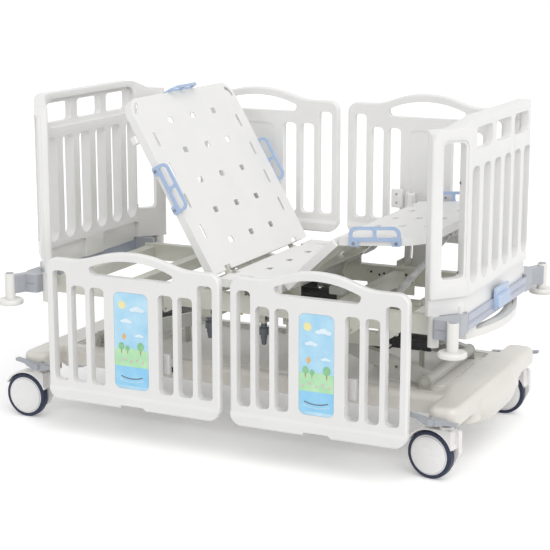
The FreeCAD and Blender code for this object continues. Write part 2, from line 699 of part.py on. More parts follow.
def actuator(mouth, rear, y, z, toward, motor_y, motor_z, bore):
    """Actuator tube with its gearbox and motor; the rod leaves at the mouth."""
    tail = rear + toward * GEARBOX_LENGTH
    x0, x1 = sorted((mouth, tail))
    tube = Part.makeCylinder(TUBE_RADIUS, x1 - x0, Vector(x0, y, z), X_AXIS)
    x0, x1 = sorted((rear, tail))
    y0, y1 = sorted((y, y + motor_y))
    z0, z1 = sorted((z, z + motor_z))
    box = block(x0, x1, y0 - GEARBOX_HALF, y1 + GEARBOX_HALF, z0 - GEARBOX_HALF, z1 + GEARBOX_HALF)
    box = eased(box, 8.0, lambda edge: abs(edge.tangentAt(edge.FirstParameter).x) > 0.9)
    start = min(tail, tail + toward * MOTOR_LENGTH)
    motor = Part.makeCylinder(MOTOR_RADIUS, MOTOR_LENGTH, Vector(start, y + motor_y, z + motor_z), X_AXIS)
    body = joined([tube, box, motor])
    x0, x1 = sorted((mouth + toward, mouth - toward * bore))
    hole = Part.makeCylinder(ROD_RADIUS + FIT_GAP, x1 - x0, Vector(x0, y, z), X_AXIS)
    return body.cut(hole)


# ================================================================ mattress frame

def lift_top():
    """The head arm's upper pivot as built."""
    angle = math.radians(LIFT_REST)
    return -LIFT_X + LIFT_LENGTH * math.cos(angle), LIFT_Z + LIFT_LENGTH * math.sin(angle)


def track_reach():
    """The foot roller's travel along the frame: nearest and furthest X."""
    top_x = lift_top()[0]
    low = math.cos(math.radians(LIFT_LOW))
    high = math.cos(math.radians(LIFT_HIGH))
    rest = math.cos(math.radians(LIFT_REST))
    return -top_x - 2 * LIFT_LENGTH * (low - rest), -top_x + 2 * LIFT_LENGTH * (rest - high)


def link_pivots():
    """Frame and rail pivots of the upper link, raised: (frame y, z, rail y, z)."""
    chord = Vector(RAIL_OUT, -RAIL_DROP, 0)
    chord.normalize()
    y = LINK_RAIL_Y + RAIL_OUT / 2 + chord.y * LINK_INSET
    z = LINK_TOP_Z - RAIL_DROP / 2 - chord.x * LINK_INSET
    return y, z, LINK_RAIL_Y, LINK_TOP_Z


def rail_middle(span):
    return (span[0] + span[1]) / 2.0


def rail_lugs(middle, y_wall, y_pivot, z_pivot, side):
    """Four plates with the two pivot holes of a side rail's links."""
    plates = []
    for at in (-LINK_OUT, -LINK_IN, LINK_IN, LINK_OUT):
        top = z_pivot + LINK_RADIUS
        bottom = z_pivot - LINK_SPACING - LINK_RADIUS
        tip = y_pivot + (LINK_RADIUS if y_pivot > y_wall else -LINK_RADIUS)
        wall, nose = sorted((y_wall, tip))
        points = [(wall, bottom), (nose, bottom), (nose, top), (wall, top)]
        radius = LINK_RADIUS - 0.5
        radii = [0, radius, radius, 0] if y_pivot > y_wall else [radius, 0, 0, radius]
        plates.append(rounded("yz", points, radii, middle + at - LINK_PLATE / 2, middle + at + LINK_PLATE / 2))
    holes = [drum(X_AXIS, LINK_PIN + FIT_GAP, (middle, y_pivot, z), 2 * LINK_OUT + 20)
             for z in (z_pivot, z_pivot - LINK_SPACING)]
    plates = [plate.cut(holes) for plate in plates]
    return plates if side > 0 else [flip_y(plate) for plate in plates]


def bed_frame():
    """Welded mattress frame: side tubes, cross tubes, lift lugs, roller tracks, hinge and rail lugs."""
    pieces = []
    frame_low = FRAME_TOP - FRAME_DEPTH
    for side in (-1, 1):
        y = side * FRAME_Y
        pieces.append(block(-FRAME_END, FRAME_END, y - FRAME_WIDTH / 2, y + FRAME_WIDTH / 2, frame_low, FRAME_TOP))
    inner = FRAME_Y - FRAME_WIDTH / 2
    for x in CROSS_X:
        pieces.append(block(x - CROSS_WIDTH / 2, x + CROSS_WIDTH / 2, -inner - 1, inner + 1,
                            CROSS_TOP - CROSS_DEPTH, CROSS_TOP))
    pieces.append(block(LOW_CROSS_X - CROSS_WIDTH / 2, LOW_CROSS_X + CROSS_WIDTH / 2, -inner - 1, inner + 1,
                        LOW_CROSS_TOP - CROSS_DEPTH, LOW_CROSS_TOP))
    for x in SEAT_TUBES:
        pieces.append(block(x - CROSS_WIDTH / 2, x + CROSS_WIDTH / 2, -inner - FRAME_WIDTH, inner + FRAME_WIDTH,
                            FRAME_TOP, DECK_TOP - DECK_WALL))
    pieces += lift_hangers()
    pieces += deck_lugs()
    frame_y, frame_z = link_pivots()[:2]
    for span in (RAIL_HEAD, RAIL_FOOT):
        for side in (-1, 1):
            middle = rail_middle(span)
            pieces += rail_lugs(middle, FRAME_Y + FRAME_WIDTH / 2 + 5, frame_y, frame_z, side)
            y0, y1 = sorted((side * (FRAME_Y + FRAME_WIDTH / 2), side * (FRAME_Y + FRAME_WIDTH / 2 + 5)))
            pieces.append(block(middle - LINK_OUT - 3, middle + LINK_OUT + 3, y0, y1,
                                frame_z - LINK_SPACING - LINK_RADIUS, FRAME_TOP))
    for side in (-1, 1):
        y0, y1 = sorted((side * 12, side * 18))
        pieces.append(block(CROSS_X[3] - 15, LOW_CROSS_X + 15, y0, y1, STRUT_Z - 12, STRUT_Z + 12))
    body = joined(pieces)
    tools = [drum(Y_AXIS, 5.0 + FIT_GAP, (STRUT_X, 0, STRUT_Z), 60)]
    top_x, top_z = lift_top()
    tools.append(drum(Y_AXIS, ARM_PIN_RADIUS + FIT_GAP, (top_x, 0, top_z), 2 * LUG_Y + 20))
    for x in (BACK_HINGE_X, THIGH_HINGE_X):
        tools.append(drum(Y_AXIS, KNUCKLE_PIN + FIT_GAP, (x, 0, DECK_TOP - DECK_THICK / 2), 2 * KNUCKLE_Y + 40))
    tools.append(Part.makeCylinder(4.0 + FIT_GAP, 80, Vector(KNOB_X, KNOB_Y - 60, KNOB_Z), Y_AXIS))
    return cut(body, tools)


def lift_hangers():
    """Lugs over the head arm's pins and C tracks for the foot arm's rollers."""
    pieces = []
    top_x, top_z = lift_top()
    near, far = track_reach()
    x0 = near - ROLLER_RADIUS - 6
    x1 = far + ROLLER_RADIUS + 6
    half = ROLLER_RADIUS + FIT_GAP
    for side in (-1, 1):
        y = side * LUG_Y
        pieces.append(rounded("xz", [(top_x - LUG_EYE, top_z - LUG_EYE), (top_x + LUG_EYE, top_z - LUG_EYE),
                                     (top_x + LUG_EYE, CROSS_TOP - 2), (top_x - LUG_EYE, CROSS_TOP - 2)],
                              [LUG_EYE - 0.1, LUG_EYE - 0.1, 0, 0], y - LUG_THICK / 2, y + LUG_THICK / 2))
        web_in = LUG_Y + LUG_THICK / 2 + 6
        y0, y1 = sorted((side * (web_in - 22), side * (web_in + TRACK_WALL)))
        pieces.append(block(x0, x1, y0, y1, top_z + half, top_z + half + TRACK_WALL))
        pieces.append(block(x0, x1, y0, y1, top_z - half - TRACK_WALL, top_z - half))
        y0, y1 = sorted((side * web_in, side * (web_in + TRACK_WALL)))
        pieces.append(block(x0, x1, y0, y1, top_z - half - TRACK_WALL, top_z + half + TRACK_WALL))
        y0, y1 = sorted((side * (web_in - 10), side * (web_in + TRACK_WALL)))
        pieces.append(block(CROSS_X[3] - 18, CROSS_X[3] + 18, y0, y1, top_z + half, CROSS_TOP - CROSS_DEPTH + 2))
        pieces.append(block(SEAT_TUBES[1] + 2, SEAT_TUBES[1] + 18, y0, y1, top_z + half - 4, FRAME_TOP + 2))
        pieces.append(block(min(x0, SEAT_TUBES[1]) + 2, max(x1, LOW_CROSS_X + 20) - 2, y0, y1, top_z + half,
                            top_z + half + TRACK_WALL))
        pieces.append(block(LOW_CROSS_X - 18, LOW_CROSS_X + 18, y0, y1, top_z + half,
                            LOW_CROSS_TOP - CROSS_DEPTH + 2))
    return pieces


def deck_lugs():
    """Knuckle lugs of the backrest and the thigh section, and the actuators' rear brackets."""
    pieces = []
    z = DECK_TOP - DECK_THICK / 2
    for x, tube in ((BACK_HINGE_X, SEAT_TUBES[0]), (THIGH_HINGE_X, SEAT_TUBES[1])):
        for side in (-1, 1):
            y = side * KNUCKLE_Y
            inward = 1 if tube > x else -1
            foot = tube - inward * CROSS_WIDTH / 2
            eye = stadium("xz", x, z, x, z - 20, KNUCKLE_RADIUS, y - 5, y + 5)
            x0, x1 = sorted((x - inward * KNUCKLE_RADIUS, foot + inward * 4))
            pieces.append(eye)
            pieces.append(block(x0, x1, y - 5, y + 5, FRAME_TOP + 2, DECK_TOP - DECK_THICK - 2))
    rod_z = z - DECK_LEVER
    x = CROSS_X[2] + CROSS_WIDTH / 2
    pieces.append(block(x - 2, x + 12, KNEE_ROD_Y - 12, KNEE_ROD_Y + 12, rod_z - 15, rod_z + 15))
    x = CROSS_X[3] - CROSS_WIDTH / 2
    pieces.append(block(x - 62, x + 2, BACK_ROD_Y - 12, BACK_ROD_Y + 12, rod_z - 12, rod_z + 15))
    inner = FRAME_Y - FRAME_WIDTH / 2
    pieces.append(block(KNOB_X - 14, KNOB_X + 14, KNOB_Y, KNOB_Y + 6, KNOB_Z - 14, CROSS_TOP - CROSS_DEPTH + 4))
    pieces.append(block(KNOB_X - 14, KNOB_X + 14, -inner - 2, KNOB_Y + 6, CROSS_TOP - CROSS_DEPTH,
                        CROSS_TOP - CROSS_DEPTH + 4))
    return pieces


# ================================================================ deck panels

def deck_panel(start, length, corner_radius, rows, edge_rows, notch_end, lever_y=None):
    """A pan section along +X from its hinge line: top skin, rim, vent holes, hinge and lever notches."""
    notch = 16.0
    z1 = DECK_THICK / 2
    half = DECK_HALF_WIDTH
    radii = [6.0, corner_radius, corner_radius, 6.0]
    points = [(start, -half), (length, -half), (length, half), (start, half)]
    outer = rounded("xy", points, radii, -z1, z1)
    wall = DECK_WALL
    inside = [(start + wall, -half + wall), (length - wall, -half + wall), (length - wall, half - wall),
              (start + wall, half - wall)]
    pocket = rounded("xy", inside, [3.0, corner_radius - wall, corner_radius - wall, 3.0], -z1 - 1, z1 - wall)
    panel = outer.cut(pocket)
    tools = []
    for row in rows:
        for column in HOLE_COLUMNS:
            tools.append(frame_block("xy", row - HOLE_LENGTH / 2, row + HOLE_LENGTH / 2, column - HOLE_WIDTH / 2,
                                     column + HOLE_WIDTH / 2, 5.0, 0, z1 + 1))
    for row in edge_rows:
        for side in (-1, 1):
            y = side * EDGE_SLOT_Y
            reach = (EDGE_SLOT_LENGTH - EDGE_SLOT_WIDTH) / 2
            tools.append(stadium("xy", row - reach, y, row + reach, y, EDGE_SLOT_WIDTH / 2, 0, z1 + 1))
    if lever_y is not None:
        tools.append(block(start - 1, start + wall + 1, lever_y - LEVER_THICK, lever_y + LEVER_THICK, -z1 - 1,
                           z1 - wall))
    for side in (-1, 1):
        y = side * KNUCKLE_Y
        tools.append(block(start - 1, start + notch, y - 19, y + 19, -z1 - 1, z1 + 1))
        if notch_end:
            tools.append(block(length - notch, length + 1, y - 19, y + 19, -z1 - 1, z1 + 1))
    return cut(panel, tools)


def to_backrest(shape):
    """From the section's own +X drawing to the raised backrest, which points to the head."""
    placed = flip_x(shape)
    placed.translate(Vector(BACK_HINGE_X, 0, DECK_TOP - DECK_THICK / 2))
    return turned(placed, BACK_HINGE_X, DECK_TOP - DECK_THICK / 2, BACK_REST)


def to_thigh(shape):
    placed = shape.copy()
    placed.translate(Vector(THIGH_HINGE_X, 0, DECK_TOP - DECK_THICK / 2))
    return turned(placed, THIGH_HINGE_X, DECK_TOP - DECK_THICK / 2, -THIGH_REST)


def knee_place():
    """The knee hinge as built: x and z."""
    angle = math.radians(THIGH_REST)
    return (THIGH_HINGE_X + THIGH_LENGTH * math.cos(angle),
            DECK_TOP - DECK_THICK / 2 + THIGH_LENGTH * math.sin(angle))


def calf_angle():
    return THIGH_REST * (1 - CALF_SHARE)


def to_calf(shape):
    x, z = knee_place()
    placed = shape.copy()
    placed.translate(Vector(x, 0, z))
    return turned(placed, x, z, -calf_angle())


def corner_slots(panel, length):
    """Crescent drain slots in the head corners of the backrest."""
    tools = []
    for side in (-1, 1):
        x = length - BACK_CORNER
        y = side * (DECK_HALF_WIDTH - BACK_CORNER)
        ring = drum(Z_AXIS, BACK_CORNER - 14, (x, y, 8), 30).cut(drum(Z_AXIS, BACK_CORNER - 27, (x, y, 8), 40))
        wedge = prism("xy", [(x, y), (x + 60, y + side * 12), (x + 60, y + side * 60), (x + 12, y + side * 60)],
                      0, 40)
        tools.append(ring.common(wedge))
    return cut(panel, tools)


def under_frame(length, lever_y, lean, swing):
    """Tubes under a moving section, with its hinge eyes, knee eyes and slotted lever."""
    top = DECK_THICK / 2 - DECK_WALL
    low = top - SUB_TUBE_DEPTH
    pieces = []
    for side in (-1, 1):
        y = side * SUB_TUBE_Y
        pieces.append(block(24, length, y - SUB_TUBE_WIDTH / 2, y + SUB_TUBE_WIDTH / 2, low, top))
        pieces += eye_plates(0, 1, side * (KNUCKLE_Y - 5 - SWING_GAP - 3), top, low, side)
    pieces.append(block(34, 58, -SUB_TUBE_Y, SUB_TUBE_Y, low, top))
    if length > 300:
        pieces.append(block(length - 60, length - 36, -SUB_TUBE_Y, SUB_TUBE_Y, low, top))
        pieces.append(block(length / 2, length / 2 + 24, -SUB_TUBE_Y, SUB_TUBE_Y, low, top))
    arm = lever(0, 0, lever_y, DECK_LEVER, swing, 0, False)
    arm.rotate(ORIGIN, Y_AXIS, lean)
    pieces.append(arm)
    angle = math.radians(lean)
    root = (-LEVER_START * math.sin(angle), -LEVER_START * math.cos(angle))
    pieces.append(stadium("xz", 46, low + 10, root[0], root[1], 9.5, lever_y - LEVER_THICK / 2,
                          lever_y + LEVER_THICK / 2))
    return pieces


def eye_plates(x, toward, y, top, low, side):
    """One hinge eye with its pin, joined to the tube behind it."""
    thick = 6.0
    eye = stadium("xz", x, 0, x + toward * 12, low + 8, KNUCKLE_RADIUS - 1, y - thick / 2, y + thick / 2)
    arm = block(min(x + toward * 4, x + toward * 40), max(x + toward * 4, x + toward * 40), y - thick / 2,
                y + thick / 2, low, top - 1)
    y0, y1 = sorted((y, side * (KNUCKLE_Y + 7)))
    pin = Part.makeCylinder(KNUCKLE_PIN, y1 - y0, Vector(x, y0, 0), Y_AXIS)
    return [eye, arm, pin]


def backrest_frame():
    """Tubes under the backrest with its hinge eyes and lever."""
    return to_backrest(joined(under_frame(BACK_LENGTH - 70, BACK_ROD_Y, BACK_MAX / 2, BACK_MAX / 2)))


def knee_frame():
    """Tubes under the thigh section, with the knuckles that carry the calf section."""
    pieces = under_frame(THIGH_LENGTH - 22, KNEE_ROD_Y, THIGH_MAX / 2, THIGH_MAX / 2)
    for side in (-1, 1):
        y = side * (KNUCKLE_Y - 5 - SWING_GAP - 3)
        top = DECK_THICK / 2 - DECK_WALL
        pieces += eye_plates(THIGH_LENGTH, -1, y, top, top - SUB_TUBE_DEPTH, side)
    return to_thigh(joined(pieces))


def calf_panel():
    """Foot section with the knee lugs and the slotted strut bracket on its underside."""
    panel = deck_panel(KNEE_GAP, CALF_LENGTH, CALF_CORNER, CALF_ROWS, (), False)
    extras = []
    for side in (-1, 1):
        y = side * KNUCKLE_Y
        lug = stadium("xz", 0, 0, 30, 0, KNUCKLE_RADIUS - 1, y - 5, y + 5)
        extras.append(lug.cut(drum(Y_AXIS, KNUCKLE_PIN + FIT_GAP, (0, y, 0), 20)))
        extras.append(block(20, 60, y - 5, y + 5, -8, DECK_THICK / 2 - DECK_WALL + 1))
    for side in (-1, 1):
        ear = stadium("xz", STRUT_CALF, 0, STRUT_CALF, -STRUT_DROP, 15.0, side * 12 - 3, side * 12 + 3)
        ear = ear.cut(drum(Y_AXIS, 5.0 + STRUT_PLAY, (STRUT_CALF, 0, -STRUT_DROP - STRUT_EYE_DROP), 60))
        extras.append(ear)
    limit = block(-50, 500, -400, 400, -100, DECK_THICK / 2 - 1)
    return to_calf(joined([panel] + [extra.common(limit) for extra in extras]))


def retainer(length):
    """Two-window loop standing on a deck edge, drawn along X with its feet at Z = 0."""
    height = RETAINER_HEIGHT
    wall = RETAINER_WALL
    t = RETAINER_THICK / 2
    loop = rounded("xz", [(-length / 2, -14), (length / 2, -14), (length / 2, height - 14), (-length / 2, height - 14)],
                   [5, 5, 24, 24], -t, t)
    low = 12.0
    tools = []
    for side in (-1, 1):
        x0, x1 = sorted((side * wall / 2, side * (length / 2 - wall)))
        points = [(x0, low), (x1, low), (x1, height - 14 - wall), (x0, height - 14 - wall)]
        radii = [6, 6, 15, 6] if side > 0 else [6, 6, 6, 15]
        tools.append(rounded("xz", points, radii, -t - 1, t + 1))
    tools.append(frame_block("xz", -length / 2 + 28, length / 2 - 28, -20, 2, 3.0, -t - 1, t + 1))
    return cut(loop, tools)


def backrest_retainers():
    """Loops on both long edges and on the head edge of the backrest."""
    loops = []
    edge = DECK_HALF_WIDTH + RETAINER_THICK / 2
    for side in (-1, 1):
        loop = retainer(RETAINER_LENGTH)
        loop.translate(Vector(BACK_RETAINER_AT, side * edge, 0))
        loops.append(loop)
    head = retainer(RETAINER_LENGTH)
    head.rotate(ORIGIN, Z_AXIS, 90)
    head.translate(Vector(BACK_LENGTH + RETAINER_THICK / 2, 0, 0))
    loops.append(head)
    return to_backrest(group(loops))


def calf_retainers():
    loops = []
    edge = DECK_HALF_WIDTH + RETAINER_THICK / 2
    for side in (-1, 1):
        loop = retainer(RETAINER_LENGTH)
        loop.translate(Vector(CALF_RETAINER_AT, side * edge, 0))
        loops.append(loop)
    return to_calf(group(loops))


# ================================================================ calf strut

def strut_top():
    """The strut's upper pin as built."""
    x, z = knee_place()
    angle = math.radians(calf_angle())
    return (x + STRUT_CALF * math.cos(angle) + STRUT_DROP * math.sin(angle),
            z + STRUT_CALF * math.sin(angle) - STRUT_DROP * math.cos(angle))


def strut_pieces():
    """Gas strut drawn along +X from its lower pin, then turned to its place."""
    top_x, top_z = strut_top()
    length = math.hypot(top_x - STRUT_X, top_z - STRUT_Z)
    angle = math.degrees(math.atan2(top_z - STRUT_Z, top_x - STRUT_X))
    tube_end = 172.0
    tube = Part.makeCylinder(STRUT_RADIUS, tube_end - 14, Vector(14, 0, 0), X_AXIS)
    eye = stadium("xz", 0, 0, 20, 0, 9.0, -7, 7)
    pin = drum(Y_AXIS, 5.0, (0, 0, 0), 40)
    tube = joined([tube, eye, pin])
    tube = tube.cut(Part.makeCylinder(STRUT_ROD_RADIUS + FIT_GAP, 160, Vector(30, 0, 0), X_AXIS))
    rod = Part.makeCylinder(STRUT_ROD_RADIUS, length - 162, Vector(140, 0, 0), X_AXIS)
    head = stadium("xz", length - 26, 0, length, 0, 8.0, -6, 6)
    cross = drum(Y_AXIS, 5.0, (length, 0, 0), 34)
    rod = joined([rod, head, cross])
    placed = []
    for piece in (tube, rod):
        copy = piece.copy()
        copy.rotate(ORIGIN, Y_AXIS, -angle)
        copy.translate(Vector(STRUT_X, 0, STRUT_Z))
        placed.append(copy)
    return placed


# ================================================================ head and foot boards

def board_plan(near, far):
    """Plan of a bent board between two depths behind its outer face; the wings lean inwards."""
    lean = math.radians(WING_ANGLE)
    half = []
    for depth in (near, far):
        bend = (BOARD_FACE - depth, BOARD_BEND - math.tan(lean / 2) * depth)
        end = (BOARD_FACE - math.sin(lean) * WING_LENGTH - math.cos(lean) * depth,
               BOARD_BEND + math.cos(lean) * WING_LENGTH - math.sin(lean) * depth)
        half += [bend, end] if depth == near else [end, bend]
    return half + [(x, -y) for x, y in reversed(half)]


def board_layer(near, far, low, high):
    """The board's plan pushed up between two heights, with its bends and wing ends rounded."""
    outer = BEND_RADIUS - near
    inner = BEND_RADIUS - far
    radii = [outer, 8.0, 8.0, inner, inner, 8.0, 8.0, outer]
    return rounded("xy", board_plan(near, far), radii, low, high)


def wing_block(width, low, high, corner, near, far):
    """A rounded upright block through both wings, between two depths behind the outer face."""
    lean = math.radians(WING_ANGLE)
    blocks = []
    for side in (-1, 1):
        slot = frame_block("yz", -width / 2, width / 2, low, high, corner, -far, -near)
        slot.rotate(ORIGIN, Z_AXIS, side * WING_ANGLE)
        slot.translate(Vector(BOARD_FACE - math.sin(lean) * WING_SLOT_AT,
                              side * (BOARD_BEND + math.cos(lean) * WING_SLOT_AT), 0))
        blocks.append(slot)
    return blocks


def board():
    """Foot board: bent panel with windows, upright slots, wing slots and two dowels."""
    lean = math.radians(WING_ANGLE)
    strip_y = BOARD_BEND + WING_LENGTH * math.cos(lean)
    end_y = strip_y - WING_STRIP
    upper = board_layer(0.0, BOARD_THICK, BOARD_RIDGE, BOARD_TOP)
    foot = board_layer(BOARD_STEP, BOARD_THICK, BOARD_LIP, BOARD_RIDGE + 1)
    half = [(BOARD_LIP_Y, BOARD_LIP), (BOARD_LIP_Y, BOARD_BOTTOM), (strip_y + 20, BOARD_BOTTOM),
            (strip_y + 20, BOARD_BOTTOM + 8), (end_y, BOARD_BOTTOM + 14), (end_y, STRIP_LOW),
            (strip_y + 20, STRIP_LOW), (strip_y + 20, STRIP_HIGH), (end_y, STRIP_HIGH), (end_y, WING_TOP),
            (BOARD_BEND + 34, WING_TOP), (BOARD_BEND - 20, BOARD_TOP)]
    bends = [2, 0, 0, 0, 3, 0, 0, 0, 2, WING_TOP_RADIUS - 8, 60, 90]
    left = [(-y, z) for y, z in reversed(half)]
    outline = rounded("yz", half + left, bends + bends[::-1], 500, 900)
    body = joined([upper, foot]).common(outline)
    tools = []
    for i in range(-1, 2):
        y = i * WINDOW_PITCH
        tools.append(frame_block("yz", y - WINDOW_WIDTH / 2, y + WINDOW_WIDTH / 2, WINDOW_LOW, WINDOW_HIGH,
                                 WINDOW_CORNER, 600, 900))
    for i in range(6):
        y = (i - 2.5) * SLAT_PITCH
        radius = SLAT_GAP / 2
        tools.append(rounded("yz", [(y - radius, SLAT_LOW), (y + radius, SLAT_LOW), (y + radius, SLAT_HIGH),
                                    (y - radius, SLAT_HIGH)], [radius - 0.1, radius - 0.1, SLAT_CORNER, SLAT_CORNER],
                             600, 900))
    back = BOARD_FACE - BOARD_THICK
    tools.append(frame_block("yz", -TROUGH_HALF, TROUGH_HALF, TROUGH_LOW, TROUGH_HIGH, 40.0, back - 40,
                             back + TROUGH_DEPTH))
    for side in (-1, 1):
        y0, y1 = sorted((side * POCKET_NEAR, side * POCKET_FAR))
        tools.append(frame_block("yz", y0, y1, BOARD_LIP - 40, POCKET_TOP, 14.0, back - 40, back + POCKET_DEPTH))
    tools += wing_block(WING_SLOT_WIDTH, WING_SLOT_LOW, WING_SLOT_HIGH, WING_SLOT_CORNER, -40, 90)
    wide = WING_SLOT_WIDTH + 2 * WING_SLOT_BEVEL
    tools += wing_block(wide, WING_SLOT_LOW - WING_SLOT_BEVEL, WING_SLOT_HIGH + WING_SLOT_BEVEL,
                        WING_SLOT_CORNER + WING_SLOT_BEVEL, -40, 4)
    body = body.cut(tools)
    dowels = [Part.makeCylinder(DOWEL_RADIUS, DOWEL_DEPTH + 20, Vector(dowel_x(), side * DOWEL_Y,
                                BOARD_BOTTOM - DOWEL_DEPTH), Z_AXIS) for side in (-1, 1)]
    return joined([body] + dowels)


def dowel_x():
    """Middle of the board below its ridge."""
    return BOARD_FACE - (BOARD_STEP + BOARD_THICK) / 2


# ================================================================ corners and bumpers

def corner_bracket():
    """Cast corner at the near foot, drawn for X > 0 and Y < 0."""
    plan = [(665, -END_RAIL_HALF), (END_RAIL_FACE, -END_RAIL_HALF), (END_RAIL_FACE, -365),
            (BUMPER_X - 26, -CORNER_OUT_Y), (690, -CORNER_OUT_Y), (690, -FRAME_Y - FRAME_WIDTH / 2),
            (665, -FRAME_Y - FRAME_WIDTH / 2)]
    body = rounded("xy", plan, [0, 4, 22, 22, 14, 0, 0], CORNER_LOW, CORNER_HIGH)
    arm = stadium("xy", 735, -385, BUMPER_X, -BUMPER_Y, 15.0, CORNER_LOW, CORNER_HIGH)
    ear = stadium("xy", 712, -362, BOARD_POST_X, -BOARD_POST_Y, 12.0, CORNER_LOW, CORNER_HIGH)
    body = joined([body, arm, ear])
    z = (CORNER_LOW + CORNER_HIGH) / 2
    tools = [drum(Z_AXIS, POST_RADIUS, (BUMPER_X, -BUMPER_Y, 480), 200),
             drum(Z_AXIS, POST_RADIUS, (BOARD_POST_X, -BOARD_POST_Y, 480), 200),
             drum(Z_AXIS, DOWEL_RADIUS + FIT_GAP, (dowel_x(), -DOWEL_Y, BOARD_BOTTOM - DOWEL_DEPTH / 2),
                  DOWEL_DEPTH + 4),
             block(700, 800, -CORNER_OUT_Y - 1, -CORNER_OUT_Y + 1.5, z - 1, z + 1),
             block(660, FRAME_END, -FRAME_Y - FRAME_WIDTH / 2, -280, 400, FRAME_TOP),
             block(640, CROSS_X[4] + CROSS_WIDTH / 2, -FRAME_Y, 0, 400, CROSS_TOP)]
    return cut(body, tools)


def four_corners(shape):
    """A corner piece at all four corners."""
    far = flip_y(shape)
    return [shape, far, flip_x(shape), flip_x(far)]


def post(x, y, low):
    """Cream corner post with a plug recess on top and a bore below."""
    body = drum(Z_AXIS, POST_RADIUS, (x, y, (low + POST_TOP) / 2), POST_TOP - low)
    body = eased(body, 3.0, lambda edge: abs(edge.BoundBox.ZMin - edge.BoundBox.ZMax) < 0.01
                 and edge.BoundBox.ZMin > low + 5)
    return body


def bumper_post():
    body = post(BUMPER_X, -BUMPER_Y, BUMPER_HIGH + SEAT_GAP)
    plug = drum(Z_AXIS, 8.0, (BUMPER_X, -BUMPER_Y, POST_TOP), 8)
    bore = drum(Z_AXIS, 6.0 + FIT_GAP, (BUMPER_X, -BUMPER_Y, BUMPER_HIGH), 64)
    return cut(body, [plug, bore])


def board_post():
    low_cut = block(600, 800, -500, -300, BOARD_BOTTOM - SEAT_GAP, 600)
    return post(BOARD_POST_X, -BOARD_POST_Y, BOARD_POST_LOW).cut(low_cut)


def bumper_disc():
    """Wall bumper wheel on its stub pin."""
    middle = (BUMPER_LOW + BUMPER_HIGH) / 2
    disc = drum(Z_AXIS, BUMPER_RADIUS, (BUMPER_X, -BUMPER_Y, middle), BUMPER_HIGH - BUMPER_LOW)
    disc = eased(disc, 7.0, circular)
    pin = Part.makeCylinder(6.0, 30, Vector(BUMPER_X, -BUMPER_Y, BUMPER_HIGH - 2), Z_AXIS)
    return joined([disc, pin])


def end_rail():
    """Grooved cross extrusion at the foot end."""
    rail = block(END_RAIL_FACE - END_RAIL_DEPTH, END_RAIL_FACE, -END_RAIL_HALF, END_RAIL_HALF, END_RAIL_LOW,
                 END_RAIL_HIGH)
    middle = (END_RAIL_LOW + END_RAIL_HIGH) / 2
    grooves = [block(END_RAIL_FACE - 1.5, END_RAIL_FACE + 1, -END_RAIL_HALF - 1, END_RAIL_HALF + 1, z - 0.8, z + 0.8)
               for z in (middle - 3, middle + 3)]
    hollow = block(END_RAIL_FACE - END_RAIL_DEPTH + 4, END_RAIL_FACE - 4, -END_RAIL_HALF - 1, END_RAIL_HALF + 1,
                   END_RAIL_LOW + 4, END_RAIL_HIGH - 4)
    return cut(rail, grooves + [hollow])


def foot_grip():
    """Curved push handle under the foot end rail."""
    start = CROSS_X[4] + CROSS_WIDTH / 2
    ends = 742.0
    outer = [Vector(ends, -GRIP_HALF, GRIP_LOW), Vector(ends + GRIP_BULGE, 0, GRIP_LOW),
             Vector(ends, GRIP_HALF, GRIP_LOW)]
    inner = [point + Vector(-GRIP_WALL, 0, 0) for point in outer]
    wire = Part.Wire([Part.Arc(*outer).toShape(), Part.LineSegment(outer[2], inner[2]).toShape(),
                      Part.Arc(inner[2], inner[1], inner[0]).toShape(),
                      Part.LineSegment(inner[0], outer[0]).toShape()])
    bow = Part.Face(wire).extrude(Z_AXIS * (GRIP_HIGH - GRIP_LOW))
    dip = frame_block("yz", -GRIP_HALF + GRIP_END, GRIP_HALF - GRIP_END, GRIP_MIDDLE, GRIP_HIGH + 40, 6.0, 600, 900)
    pieces = [bow.cut(dip)]
    for side in (-1, 1):
        y0, y1 = sorted((side * (GRIP_HALF - 14), side * GRIP_HALF))
        pieces.append(block(start, ends, y0, y1, GRIP_LOW, GRIP_HIGH))
    return joined(pieces)


def foot_latch():
    """Board latch: a flap hinged low on the end rail, its nose close to the foot of the board."""
    x0 = END_RAIL_FACE + FIT_GAP
    x1 = x0 + LATCH_WALL
    low = LATCH_Y - LATCH_HALF
    high = LATCH_Y + LATCH_HALF
    pivot = LATCH_WALL / 2
    flap = rounded("yz", [(low, LATCH_LOW + pivot), (high, LATCH_LOW + pivot), (high, LATCH_HIGH), (low, LATCH_HIGH)],
                   [0, 0, 8, 8], x0, x1)
    barrel = drum(Y_AXIS, pivot, (x0 + pivot, LATCH_Y, LATCH_LOW + pivot), 2 * LATCH_HALF)
    bulge = frame_block("yz", low + 6, high - 6, LATCH_LOW + 3, LATCH_HIGH - 22, 12.0, x1 - 2, x1 + LATCH_BULGE)
    bulge = eased(bulge, 6.0, lambda edge: edge.BoundBox.XMin > x1 + LATCH_BULGE - 0.01)
    face = BOARD_FACE - BOARD_STEP
    nose = block(face + LATCH_NOSE_GAP, x0 + 2, low + 12, high - 12, BOARD_BOTTOM - LATCH_NOSE, BOARD_BOTTOM)
    return joined([flap, barrel, bulge, nose])


# ================================================================ side rails

